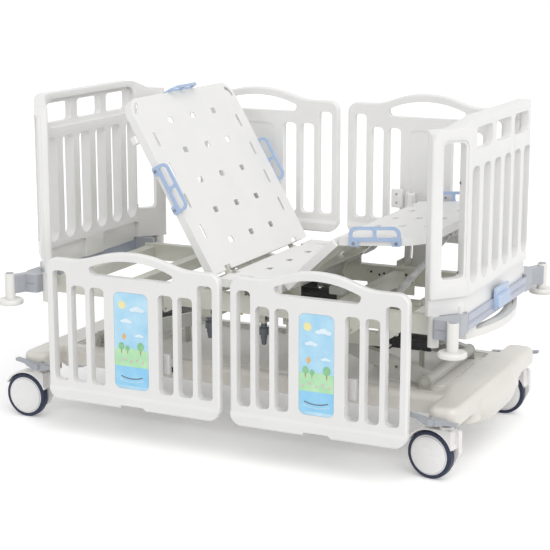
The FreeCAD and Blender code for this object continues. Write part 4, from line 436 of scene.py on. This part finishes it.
# ---- Lift ---------------------------------------------------------------------------------------
# Two pairs of welded arms raise the mattress frame, each pair pushed by a linear actuator: a black
# motor and tube with a bright steel rod.
ARM_GREY = coated("arm_grey", (0.58, 0.58, 0.54), (0.54, 0.54, 0.505), gloss=0.40, grain=1400.0, depth=0.10)
MOTOR_BLACK = coated("motor_black", (0.030, 0.030, 0.033), (0.045, 0.045, 0.048), gloss=0.48, grain=900.0,
                     depth=0.15, dust=0.08)
ROD_STEEL = coated("rod_steel", (0.62, 0.62, 0.62), (0.55, 0.55, 0.56), gloss=0.22, metal=1.0, grain=2200.0,
                   depth=0.04)
finish(ARM_GREY, "lift_arm_head", "lift_arm_foot")
finish(MOTOR_BLACK, "lift_motors", "deck_motors")
finish(ROD_STEEL, "lift_rod_head", "lift_rod_foot", "backrest_rod", "knee_rod")

# ---- Mattress frame -------------------------------------------------------------------------------
# Welded tubes in the base frame's olive coat, drawn in a paler copy of it whose extra lightness is painted
# light for the shade under the deck. Under the deck hang hole plates, a pale junction box, the grey sockets
# of the motor leads and the yellow collar of the release knob.
# Same slot as frame_olive: the paler tone is painted light for the shade the deck casts on these tubes.
LIT_FRAME_OLIVE = coated("frame_olive_painted_light", (0.74, 0.74, 0.66), (0.68, 0.68, 0.61), gloss=0.40, grain=1400.0,
                   depth=0.10, dust=0.06, slot="frame_olive")
finish(LIT_FRAME_OLIVE, "bed_frame", "backrest_frame", "knee_frame")
SOCKET_GREY = coated("socket_grey", (0.16, 0.18, 0.20), (0.12, 0.135, 0.15), gloss=0.35, grain=1100.0,
                     depth=0.08, slot="motor_black")
BOX_PALE = coated("box_pale", (0.62, 0.62, 0.60), (0.58, 0.58, 0.56), gloss=0.40, slot="tray_cream")
COLLAR_YELLOW = coated("collar_yellow", (0.78, 0.60, 0.06), (0.74, 0.55, 0.05), gloss=0.32, coat=0.2,
                       slot="knob_red")


SOCKET_RADIUS = 0.016
SOCKET_TALL = 0.024
SOCKET_NECK = 0.05
SOCKET_STEPS = ((0.012, 1.0), (0.004, 0.82), (0.014, 0.9), (0.003, 0.7))


def lead_socket(name, at):
    """A hanging cable socket: ribbed nut above, tapered nose below."""
    socket = begin(bpy.ops.mesh.primitive_cylinder_add, name, vertices=20, radius=SOCKET_RADIUS,
                   depth=SOCKET_TALL, location=(0.0, 0.0, 0.0))
    bpy.ops.mesh.bevel(offset=0.002, segments=2, affect="EDGES")
    pick_faces(socket, lambda face: face.normal.z < -0.99)
    bpy.ops.mesh.inset(thickness=0.003)
    for down, shrink in SOCKET_STEPS:
        bpy.ops.mesh.extrude_region_move(TRANSFORM_OT_translate={"value": (0.0, 0.0, -down)})
        bpy.ops.transform.resize(value=(shrink, shrink, 1.0))
    pick_faces(socket, lambda face: face.normal.z > 0.99)
    bpy.ops.mesh.inset(thickness=0.004)
    bpy.ops.mesh.extrude_region_move(TRANSFORM_OT_translate={"value": (0.0, 0.0, SOCKET_NECK)})
    return settle(socket, SOCKET_GREY, "bed", Matrix.Translation(Vector(at)), smooth=30.0)


SOCKET_X = (-0.134, 0.062)
SOCKET_Y = -0.250
SOCKET_Z = 0.362
SHEET_EASE = 0.001
for number, bed_x in enumerate(SOCKET_X):
    x = bed_x + BED_SHIFT
    lead_socket("lead_socket_%d" % (number + 1), (x, SOCKET_Y, SOCKET_Z))
    eased_block("socket_plate_%d" % (number + 1), (x - 0.024, -0.285, 0.398), (x + 0.024, -0.215, 0.402),
                SHEET_EASE, LIT_FRAME_OLIVE, "bed")
    eased_block("socket_hanger_%d" % (number + 1), (x - 0.020, -0.2845, 0.396), (x + 0.020, -0.2815, 0.440),
                SHEET_EASE, LIT_FRAME_OLIVE, "bed")
HOLE_PLATE_FRONT = 0.2800
HOLE_PLATE_BACK = 0.2842
HOLE_PLATE_EASE = 0.0012
HOLE_RADIUS = 0.0042
HOLE_RIM = 0.0012


def hole_plate(name, bed_x, width, low, high, holes):
    """A flat plate on the far side tube, with black discs that paint the shade inside its bolt holes."""
    x = bed_x + BED_SHIFT
    eased_block(name, (x, HOLE_PLATE_FRONT, low), (x + width, HOLE_PLATE_BACK, high), HOLE_PLATE_EASE,
                LIT_FRAME_OLIVE, "bed")
    # Each hole is a black disc on the plate face, and its black is painted shade of the opening.
    for number, (across, up) in enumerate(holes):
        disc_plug("%s_hole_%d" % (name, number + 1), HOLE_RADIUS, HOLE_RIM, PLUG_BLACK, "bed",
                  facing((x + across, HOLE_PLATE_FRONT, low + up), (0.0, -1.0, 0.0)))


hole_plate("stop_plate_1", 0.202, 0.080, 0.398, 0.489,
           ((0.014, 0.070), (0.045, 0.062), (0.062, 0.068), (0.066, 0.020)))
hole_plate("stop_plate_2", 0.306, 0.070, 0.398, 0.489, ((0.012, 0.048), (0.060, 0.047), (0.040, 0.070)))
hole_plate("stop_plate_3", -0.372, 0.058, 0.420, 0.489,
           ((0.012, 0.055), (0.046, 0.055), (0.012, 0.014), (0.046, 0.014)))
KNOB_AT = Vector((-0.060 + BED_SHIFT, -0.200, 0.414))
COLLAR_HALF = 0.021
COLLAR_BAR = 0.0055
COLLAR_THIN = 0.001
COLLAR_EASE = 0.0006
COLLAR_REACH = COLLAR_HALF - COLLAR_BAR
for word, wide, tall, across, up in (("top", COLLAR_HALF, COLLAR_BAR, 0.0, COLLAR_REACH),
                                     ("foot", COLLAR_HALF, COLLAR_BAR, 0.0, -COLLAR_REACH),
                                     ("left", COLLAR_BAR, COLLAR_REACH - COLLAR_BAR, -COLLAR_REACH, 0.0),
                                     ("right", COLLAR_BAR, COLLAR_REACH - COLLAR_BAR, COLLAR_REACH, 0.0)):
    centre = KNOB_AT + Vector((across, -COLLAR_THIN, up))
    reach = Vector((wide, COLLAR_THIN, tall))
    eased_block("knob_collar_" + word, centre - reach, centre + reach, COLLAR_EASE, COLLAR_YELLOW, "bed")
BOX_LOW = (0.262, -0.150, 0.4805)
BOX_HIGH = (0.312, -0.095, 0.508)
BOX_EASE = 0.004
eased_block("junction_box", BOX_LOW, BOX_HIGH, BOX_EASE, BOX_PALE, "bed")

# ---- Corner brackets, posts and end rails ----------------------------------------------------------
# Cast corner brackets carry the boards, round posts and a buffer at each corner. The end rails are
# folded sheet in a satin lilac grey. A moulded grip bows out below the foot rail, thick at its ends.
BRACKET_GREY = coated("bracket_grey", (0.42, 0.44, 0.47), (0.38, 0.40, 0.43), gloss=0.34, grain=1400.0,
                      depth=0.08)
RAIL_LILAC = coated("end_rail_lilac", (0.46, 0.49, 0.58), (0.42, 0.45, 0.55), gloss=0.30, grain=1800.0,
                    depth=0.04, metal=0.2)
POST_CREAM = coated("post_cream", (0.80, 0.79, 0.76), (0.77, 0.76, 0.73), gloss=0.32, coat=0.2)
finish(BRACKET_GREY, "corner_brackets")
finish(RAIL_LILAC, "end_rails")
finish(POST_CREAM, "corner_posts", "foot_grip")
GRIP_BOW = 0.6367
GRIP_MIDDLE_X = 0.1428 + BED_SHIFT
GRIP_DEEP = 0.026
GRIP_LOW = 0.4125
GRIP_EASE = 0.003
GRIP_BAR_TOP = 0.4355
GRIP_END_TOP = 0.4495
GRIP_BAR_END = 0.2105
GRIP_END_START = 0.2115
GRIP_END_END = 0.2385


def grip_sweep(name, start, end, top, steps):
    """A bar behind the moulded grip, swept round the bow between two distances from the middle."""
    first = math.asin(start / GRIP_BOW)
    last = math.asin(end / GRIP_BOW)
    centre = Vector((GRIP_MIDDLE_X, 0.0, 0.0))
    bar = begin(bpy.ops.mesh.primitive_plane_add, name, size=1.0)
    bpy.ops.transform.resize(value=(GRIP_DEEP, top - GRIP_LOW, 1.0))
    bpy.ops.object.mode_set(mode="OBJECT")
    upright = Matrix.Rotation(math.radians(90.0), 4, "X")
    out = Matrix.Translation((GRIP_BOW - GRIP_DEEP / 2, 0.0, (top + GRIP_LOW) / 2))
    bar.data.transform(Matrix.Translation(centre) @ Matrix.Rotation(first, 4, "Z") @ out @ upright)
    bpy.ops.object.mode_set(mode="EDIT")
    bpy.ops.mesh.select_all(action="SELECT")
    bpy.ops.mesh.spin(steps=steps, angle=first - last, center=tuple(centre), axis=(0.0, 0.0, 1.0))
    bpy.ops.mesh.select_all(action="SELECT")
    bpy.ops.mesh.normals_make_consistent(inside=False)
    bpy.ops.mesh.select_all(action="DESELECT")
    bpy.ops.mesh.edges_select_sharp(sharpness=math.radians(60.0))
    bpy.ops.mesh.bevel(offset=GRIP_EASE, segments=2, affect="EDGES")
    return settle(bar, POST_CREAM, "bed")


grip_sweep("foot_grip_back", -GRIP_BAR_END, GRIP_BAR_END, GRIP_BAR_TOP, 32)
grip_sweep("foot_grip_near_end", -GRIP_END_END, -GRIP_END_START, GRIP_END_TOP, 6)
grip_sweep("foot_grip_far_end", GRIP_END_START, GRIP_END_END, GRIP_END_TOP, 6)
POST_CAP_RADIUS = 0.0125
POST_CAP_THICK = 0.003
POST_AT_X = 0.770
low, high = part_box("bumper_disc_far_foot")
POST_AT_Y = (low.y + high.y) / 2
POST_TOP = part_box("corner_posts")[1].z
for end, side in ((1, -1), (1, 1), (-1, -1), (-1, 1)):
    name = "post_cap_%s_%s" % ("near" if side < 0 else "far", "foot" if end > 0 else "head")
    spot = (end * POST_AT_X + BED_SHIFT, side * POST_AT_Y, POST_TOP)
    disc_plug(name, POST_CAP_RADIUS, POST_CAP_THICK, PEDAL_GREY, "bed", facing(spot, (0.0, 0.0, 1.0)))

# ---- Buffers, latch and knob -------------------------------------------------------------------------
# White nylon buffer discs roll on the posts along a wall. A pale blue moulded flap locks the foot
# board, with three ribs for the thumb, and a red push knob frees the backrest by hand.
LATCH_BLUE = coated("latch_blue", (0.46, 0.57, 0.75), (0.43, 0.54, 0.72), gloss=0.30, coat=0.2)
KNOB_RED = coated("knob_red", (0.62, 0.05, 0.03), (0.55, 0.04, 0.03), gloss=0.25, coat=0.3)
finish(LATCH_BLUE, "foot_latch")
finish(KNOB_RED, "release_knob")
for name in CASTORS:
    finish(POST_CREAM, "bumper_disc_" + name)
RIB_COUNT = 3
RIB_START = 0.018
RIB_PITCH = 0.012
RIB_TALL = 0.004
RIB_MARGIN = 0.030
RIB_SUNK = 0.0005
RIB_PROUD = 0.0012
RIB_EASE = 0.0006
low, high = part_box("foot_latch")
for step in range(RIB_COUNT):
    z = low.z + RIB_START + step * RIB_PITCH
    eased_block("latch_rib_%d" % (step + 1), (high.x - RIB_SUNK, low.y + RIB_MARGIN, z),
                (high.x + RIB_PROUD, high.y - RIB_MARGIN, z + RIB_TALL), RIB_EASE, LATCH_BLUE, "latch")

# ---- Deck ----------------------------------------------------------------------------------------
# Four hollow-blown panels in a finely grained white, hinged in line, with rows of vent holes
# through both skins.
DECK_WHITE = coated("deck_grey", (0.82, 0.815, 0.80), (0.795, 0.79, 0.775), gloss=0.42, grain=900.0,
                    depth=0.05)
finish(DECK_WHITE, "seat_panel", "backrest_panel", "thigh_panel", "calf_panel")

# ---- Mattress retainers -----------------------------------------------------------------------------
# Pale blue moulded loops, each screwed to a deck edge with two dished steel screws. A white stop
# block sits under each long edge of the backrest.
RETAINER_BLUE = coated("retainer_blue", (0.40, 0.52, 0.73), (0.37, 0.49, 0.70), gloss=0.28, coat=0.25)
SCREW_STEEL = coated("screw_steel", (0.30, 0.30, 0.31), (0.20, 0.20, 0.21), gloss=0.32, metal=0.9,
                     grain=2000.0, depth=0.05, slot="rod_steel")
finish(RETAINER_BLUE, "backrest_retainers", "calf_retainers")
DECK_MIDDLE = 0.533
SCREW_RADIUS = 0.0052
SCREW_THICK = 0.0022
SCREW_DISH = 0.8
SCREW_ALONG = 0.069
SCREW_DOWN = -0.005
DECK_EDGE = 0.362
BACK_RETAINER_AT = 0.325
BACK_TOP = 0.647
CALF_RETAINER_AT = 0.128
BACK_HINGE_X = -0.065
BACK_TURN = (Matrix.Translation(Vector((BACK_HINGE_X + BED_SHIFT, 0.0, DECK_MIDDLE)))
             @ Matrix.Rotation(math.radians(60.0), 4, "Y"))
BACK_PLACE = BACK_TURN @ Matrix.Diagonal((-1.0, 1.0, 1.0, 1.0))
THIGH_HINGE_X = 0.181
THIGH_LONG = 0.242
THIGH_UP = math.radians(43.5)
CALF_TILT = math.radians(-4.4)
KNEE_X = THIGH_HINGE_X + THIGH_LONG * math.cos(THIGH_UP)
KNEE_Z = DECK_MIDDLE + THIGH_LONG * math.sin(THIGH_UP)
CALF_PLACE = (Matrix.Translation(Vector((KNEE_X + BED_SHIFT, 0.0, KNEE_Z)))
              @ Matrix.Rotation(CALF_TILT, 4, "Y"))


def deck_screw(name, section, body, along, side, across=None):
    """A screw head on a retainer's foot, placed in its deck section's own frame."""
    if across is None:
        spot = Vector((along, side * DECK_EDGE, SCREW_DOWN))
        out = Vector((0.0, side, 0.0))
    else:
        spot = Vector((along, across, SCREW_DOWN))
        out = Vector((1.0, 0.0, 0.0))
    spot = section @ spot
    out = section.to_3x3() @ out
    disc_plug(name, SCREW_RADIUS, SCREW_THICK, SCREW_STEEL, body, facing(spot, out), dish=SCREW_DISH)


for side, word in ((-1, "near"), (1, "far")):
    for end in (-1, 1):
        tag = "%s_%s" % (word, "low" if end < 0 else "high")
        along = end * SCREW_ALONG
        deck_screw("backrest_screw_" + tag, BACK_PLACE, "backrest", BACK_RETAINER_AT + along, side)
        deck_screw("calf_screw_" + tag, CALF_PLACE, "calf", CALF_RETAINER_AT + along, side)
for end, word in ((-1, "near"), (1, "far")):
    deck_screw("backrest_screw_head_" + word, BACK_PLACE, "backrest", BACK_TOP, 0, across=end * SCREW_ALONG)

STOP_IN = 0.338
STOP_OUT = 0.366
STOP_FROM = -0.526
STOP_TO = -0.500
STOP_DEEP = -0.034
STOP_SHALLOW = -0.0135
STOP_EASE = 0.003
for side, word in ((-1, "near"), (1, "far")):
    y0, y1 = sorted((side * STOP_IN, side * STOP_OUT))
    eased_block("backrest_stop_" + word, (STOP_FROM, y0, STOP_DEEP), (STOP_TO, y1, STOP_SHALLOW), STOP_EASE,
                HOUSING_WHITE, "backrest", BACK_TURN)

# ---- Calf strut ------------------------------------------------------------------------------------
# A gas strut under the calf section: a cylinder in scuffed silver paint and its rod, pinned to a cross tube
# below and to the calf section above. Its very bright tone is painted light for the shade under the deck.
# The darker patches are the scuffs.
# The bright tone is painted light and stands in for light the deck keeps off the strut.
LIT_STRUT_SILVER = coated("strut_silver", (0.92, 0.93, 0.94), (0.55, 0.57, 0.59), gloss=0.30, patch=45.0,
                      grain=2200.0, depth=0.06)
finish(LIT_STRUT_SILVER, "strut_tube", "strut_rod")

# ---- Head and foot boards ---------------------------------------------------------------------------
# Blow-moulded polyethylene boards with bent wings, hung on dowels in the corner brackets. The
# mould rounds every edge, and small black plugs close its blowing holes.
MOULDED_WHITE = coated("moulded_white", (0.815, 0.81, 0.80), (0.79, 0.785, 0.775), gloss=0.30, coat=0.25)


BOARD_EASE = 0.007
BOARD_EASE_STEPS = 3


def softened(name, node, body, width):
    """A merged copy of a CAD node with its sharp edges rounded, which stands for the node."""
    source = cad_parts[node]
    copy = source.copy()
    copy.data = source.data.copy()
    copy.name = name
    copy.data.name = name
    copy.parent = None
    bpy.context.scene.collection.objects.link(copy)
    bpy.ops.object.select_all(action="DESELECT")
    copy.select_set(True)
    bpy.context.view_layer.objects.active = copy
    bpy.ops.object.mode_set(mode="EDIT")
    bpy.ops.mesh.select_all(action="SELECT")
    bpy.ops.mesh.remove_doubles(threshold=0.00002)
    bpy.ops.mesh.dissolve_limited(angle_limit=math.radians(1.0))
    bpy.ops.mesh.normals_make_consistent(inside=False)
    bpy.ops.object.mode_set(mode="OBJECT")
    edge = copy.modifiers.new("rounded", "BEVEL")
    edge.width = width
    edge.segments = BOARD_EASE_STEPS
    edge.limit_method = "ANGLE"
    edge.angle_limit = math.radians(50.0)
    bpy.ops.object.modifier_apply(modifier=edge.name)
    settle(copy, MOULDED_WHITE, body, smooth=40.0)
    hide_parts(node)
    return copy


BOARD_INNER = 0.726
BOARD_PLUG_RADIUS = 0.0045
BOARD_PLUG_THICK = 0.0012
BOARD_PLUG_Y = 0.297
BOARD_PLUG_Z = (0.627, 0.895)
for body, face in (("head_board", -1), ("foot_board", 1)):
    for number, up in enumerate(BOARD_PLUG_Z):
        for side, word in ((-1, "near"), (1, "far")):
            spot = (face * BOARD_INNER + BED_SHIFT, side * BOARD_PLUG_Y, up)
            disc_plug("%s_plug_%s_%d" % (body, word, number + 1), BOARD_PLUG_RADIUS, BOARD_PLUG_THICK,
                      PLUG_BLACK, body, facing(spot, (-face, 0.0, 0.0)))
softened("head_board_moulding", "head_board", "head_board", BOARD_EASE)
softened("foot_board_moulding", "foot_board", "foot_board", BOARD_EASE)

# ---- Side rails ---------------------------------------------------------------------------------------
# Blow-moulded rails in the same white, with white hinge casings screwed to the inner face. Printed
# film fills the recess outside: a simple landscape and, at its foot, the slope gauge of the deck.
RAILS = ("near_head", "near_foot", "far_head", "far_foot")
for name in RAILS:
    finish(MOULDED_WHITE, "rail_" + name)
    finish(HOUSING_WHITE, "rail_%s_upper_links" % name, "rail_%s_lower_link" % name)

CASING_LOW = 0.117
CASING_HIGH = 0.182
CASING_DEEP = 0.018
CASING_EASE = 0.004
CASING_SPANS = ((-0.110, -0.070), (0.070, 0.110))
CASING_SCREWS = (0.018, 0.048)
CASING_SCREW_RADIUS = 0.0042
CASING_SCREW_THICK = 0.0016
CASING_SCREW_DISH = 0.7
RAIL_SWELL = 0.004
RAIL_SEAT = 0.0002
for name in RAILS:
    low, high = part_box("rail_" + name)
    side = -1 if name.startswith("near") else 1
    wall = (high.y if side < 0 else low.y) + side * RAIL_SWELL
    front = wall - side * CASING_DEEP
    middle = (low.x + high.x) / 2
    for number, (start, end) in enumerate(CASING_SPANS):
        y0, y1 = sorted((front, wall - side * RAIL_SEAT))
        eased_block("casing_%s_%d" % (name, number + 1), (middle + start, y0, low.z + CASING_LOW),
                    (middle + end, y1, low.z + CASING_HIGH), CASING_EASE, HOUSING_WHITE, "rail_" + name)
        for up in CASING_SCREWS:
            spot = ((start + end) / 2 + middle, front, low.z + CASING_LOW + up)
            disc_plug("casing_screw_%s_%d_%d" % (name, number + 1, up * 1000), CASING_SCREW_RADIUS,
                      CASING_SCREW_THICK, PEDAL_GREY, "rail_" + name, facing(spot, (0.0, -side, 0.0)),
                      dish=CASING_SCREW_DISH)

PICTURE_SHARE = 0.198
PICTURE_LOW = 0.068
PICTURE_HIGH = 0.384
PICTURE_DEPTH = 0.002
PICTURE_CORNER = 0.020
FILM = 0.0012
LAYER = 0.00025
MEADOW_TOP = 0.135
WATER_TOP = 0.075


def printed(name, tone, shade, patch=30.0):
    """A print colour on film."""
    return coated(name, tone, shade, gloss=0.30, spread=0.05, grain=300.0, depth=0.01, patch=patch,
                  coat=0.15, slot="moulded_white")


PRINT_SKY = printed("print_sky", (0.36, 0.66, 0.88), (0.55, 0.80, 0.94), patch=14.0)
PRINT_WATER = printed("print_water", (0.26, 0.60, 0.88), (0.34, 0.68, 0.91), patch=20.0)
PRINT_MEADOW = printed("print_meadow", (0.42, 0.74, 0.44), (0.54, 0.82, 0.52), patch=26.0)
PRINT_CLOUD = printed("print_cloud", (0.72, 0.86, 0.94), (0.80, 0.91, 0.97))
PRINT_SUN = printed("print_sun", (0.88, 0.80, 0.36), (0.90, 0.84, 0.48))
PRINT_LEAF = printed("print_leaf", (0.22, 0.52, 0.26), (0.32, 0.62, 0.32), patch=60.0)
PRINT_TRUNK = printed("print_trunk", (0.42, 0.24, 0.10), (0.50, 0.30, 0.14))
PRINT_BLOSSOM = printed("print_blossom", (0.80, 0.36, 0.56), (0.86, 0.48, 0.66))
PRINT_KITE = printed("print_kite", (0.80, 0.42, 0.12), (0.86, 0.52, 0.18))
PRINT_INK = printed("print_ink", (0.10, 0.12, 0.16), (0.15, 0.17, 0.21))
PRINT_WHITE = printed("print_white", (0.85, 0.87, 0.88), (0.80, 0.83, 0.85))


class RailPicture:
    """Places flat film shapes in one rail's recess; across and up are metres from its lower middle."""

    def __init__(self, rail, side):
        low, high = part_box("rail_" + rail)
        self.rail = rail
        self.body = "rail_" + rail
        self.half = (high.x - low.x) * PICTURE_SHARE / 2
        self.middle = (low.x + high.x) / 2
        self.base = low.z
        self.side = side
        self.face = (low.y if side < 0 else high.y) - side * (RAIL_SWELL + PICTURE_DEPTH)

    def place(self, across, up, layer):
        """The matrix of a shape drawn flat on the origin."""
        depth = FILM + layer * LAYER if layer else 0.0
        spot = Vector((self.middle + across, self.face + self.side * depth, self.base + PICTURE_LOW + up))
        turn = Matrix.Rotation(math.radians(90.0), 4, "X")
        if self.side > 0:
            turn = Matrix.Rotation(math.pi, 4, "Z") @ turn
        return Matrix.Translation(spot) @ turn

    def film(self, name, material, across, up, layer, width, height, sides=32, cut_low=None, cut_high=None,
             cut_wide=None):
        """An ellipse or polygon of film, cut straight at a height or at the picture's sides."""
        piece = begin(bpy.ops.mesh.primitive_circle_add, "%s_%s" % (self.rail, name), vertices=sides,
                      radius=0.5, fill_type="NGON")
        bpy.ops.transform.resize(value=(width, height, 1.0))
        for limit, normal in ((cut_low, (0, -1, 0)), (cut_high, (0, 1, 0))):
            if limit is not None:
                bpy.ops.mesh.select_all(action="SELECT")
                bpy.ops.mesh.bisect(plane_co=(0.0, limit - up, 0.0), plane_no=normal, clear_outer=True,
                                    use_fill=False)
        if cut_wide is not None:
            for sign in (-1, 1):
                bpy.ops.mesh.select_all(action="SELECT")
                bpy.ops.mesh.bisect(plane_co=(sign * cut_wide - across, 0.0, 0.0), plane_no=(sign, 0, 0),
                                    clear_outer=True, use_fill=False)
        bpy.ops.mesh.select_all(action="SELECT")
        bpy.ops.mesh.extrude_region_move(TRANSFORM_OT_translate={"value": (0.0, 0.0, LAYER)})
        bpy.ops.mesh.select_all(action="SELECT")
        bpy.ops.mesh.normals_make_consistent(inside=False)
        return settle(piece, material, self.body, self.place(across, up, layer))


PLATE_INSET = 0.0008
PLATE_CORNER_STEPS = 8


def sky_plate(picture):
    """The film's sky-coloured base with rounded corners."""
    half = picture.half - PLATE_INSET
    tall = PICTURE_HIGH - PICTURE_LOW - 2 * PLATE_INSET
    plate = begin(bpy.ops.mesh.primitive_cube_add, picture.rail + "_picture", size=1.0,
                  location=(0.0, tall / 2, FILM / 2), scale=(2 * half, tall, FILM))
    bpy.ops.mesh.select_mode(type="EDGE")
    bpy.ops.mesh.select_all(action="DESELECT")
    bpy.ops.object.mode_set(mode="OBJECT")
    for edge in plate.data.edges:
        ends = [plate.data.vertices[i].co for i in edge.vertices]
        edge.select = abs(ends[0].z - ends[1].z) > FILM / 2
    bpy.ops.object.mode_set(mode="EDIT")
    bpy.ops.mesh.bevel(offset=PICTURE_CORNER, segments=PLATE_CORNER_STEPS, affect="EDGES")
    return settle(plate, PRINT_SKY, picture.body, picture.place(0.0, PLATE_INSET, 0))


PRINT_MARGIN = 0.0012
CLOUDS = ((0.022, 0.262, 1.0), (-0.018, 0.222, 0.8), (0.030, 0.178, 0.6))
PUFFS = ((-0.016, 0.0, 0.020), (0.0, 0.004, 0.028), (0.016, 0.0, 0.022))
PUFF_FLATNESS = 0.62
SUN_UP = 0.275
SUN_WIDE = 0.026
SUN_SHARE = 0.52
TREES = ((-0.036, 0.85), (-0.014, 0.65), (0.034, 1.0))
TREE_FOOT = 0.118
BLOSSOMS = 5
BLOSSOM_WIDE = 0.0075
BLOSSOM_PITCH = 0.021
WATER_FOOT = 0.012
GAUGE_DOTS = 11
GAUGE_CENTRE = 0.140
GAUGE_REACH = 0.105
GAUGE_START = -20.0
GAUGE_PITCH = 4.0
TICK_DROP = 0.011
TICK_WIDE = 0.0026


def rail_picture(rail, side):
    """Sky, sun, clouds, kite, meadow with trees and blossoms, and the gauge on the water."""
    picture = RailPicture(rail, side)
    wide = picture.half - PRINT_MARGIN
    sky_plate(picture)
    picture.film("meadow", PRINT_MEADOW, 0.0, WATER_TOP, 1, 0.30, 2 * (MEADOW_TOP - WATER_TOP), 96,
                 cut_low=WATER_TOP, cut_wide=wide)
    picture.film("sun", PRINT_SUN, -wide * SUN_SHARE, SUN_UP, 1, SUN_WIDE, SUN_WIDE)
    for number, (across, up, size) in enumerate(CLOUDS):
        for puff, (shift, rise, width) in enumerate(PUFFS):
            picture.film("cloud_%d_%d" % (number, puff), PRINT_CLOUD, across + shift * size,
                         up + rise * size, 1 + puff, width * size, width * size * PUFF_FLATNESS)
    picture.film("kite", PRINT_KITE, -0.026, 0.172, 2, 0.016, 0.024, 4)
    for number, (across, size) in enumerate(TREES):
        picture.film("trunk_%d" % number, PRINT_TRUNK, across, TREE_FOOT + 0.008 * size, 2, 0.005 * size,
                     0.028 * size, 4)
        picture.film("crown_%d" % number, PRINT_LEAF, across, TREE_FOOT + 0.026 * size, 3, 0.024 * size,
                     0.028 * size, 24)
    for number in range(BLOSSOMS):
        across = (number - BLOSSOMS // 2) * BLOSSOM_PITCH
        up = 0.092 + 0.007 * (number % 2)
        picture.film("blossom_%d" % number, PRINT_BLOSSOM, across, up, 2, BLOSSOM_WIDE, BLOSSOM_WIDE, 6)
    picture.film("water", PRINT_WATER, 0.0, WATER_TOP * 0.62, 1, 0.4, 0.30, 64, cut_low=WATER_FOOT,
                 cut_high=WATER_TOP, cut_wide=wide)
    for number in range(GAUGE_DOTS):
        angle = math.radians(GAUGE_START + number * GAUGE_PITCH)
        across = math.sin(angle) * GAUGE_REACH
        up = GAUGE_CENTRE - math.cos(angle) * GAUGE_REACH
        picture.film("gauge_%d" % number, PRINT_INK, across, up, 2, 0.0085, 0.0042, 12)
        drop = GAUGE_REACH + TICK_DROP
        across = math.sin(angle) * drop
        up = GAUGE_CENTRE - math.cos(angle) * drop
        picture.film("tick_%d" % number, PRINT_WHITE, across, up, 2, TICK_WIDE,
                     0.007 if number % 5 == 0 else 0.0045, 8)


for name in RAILS:
    rail_picture(name, -1 if name.startswith("near") else 1)
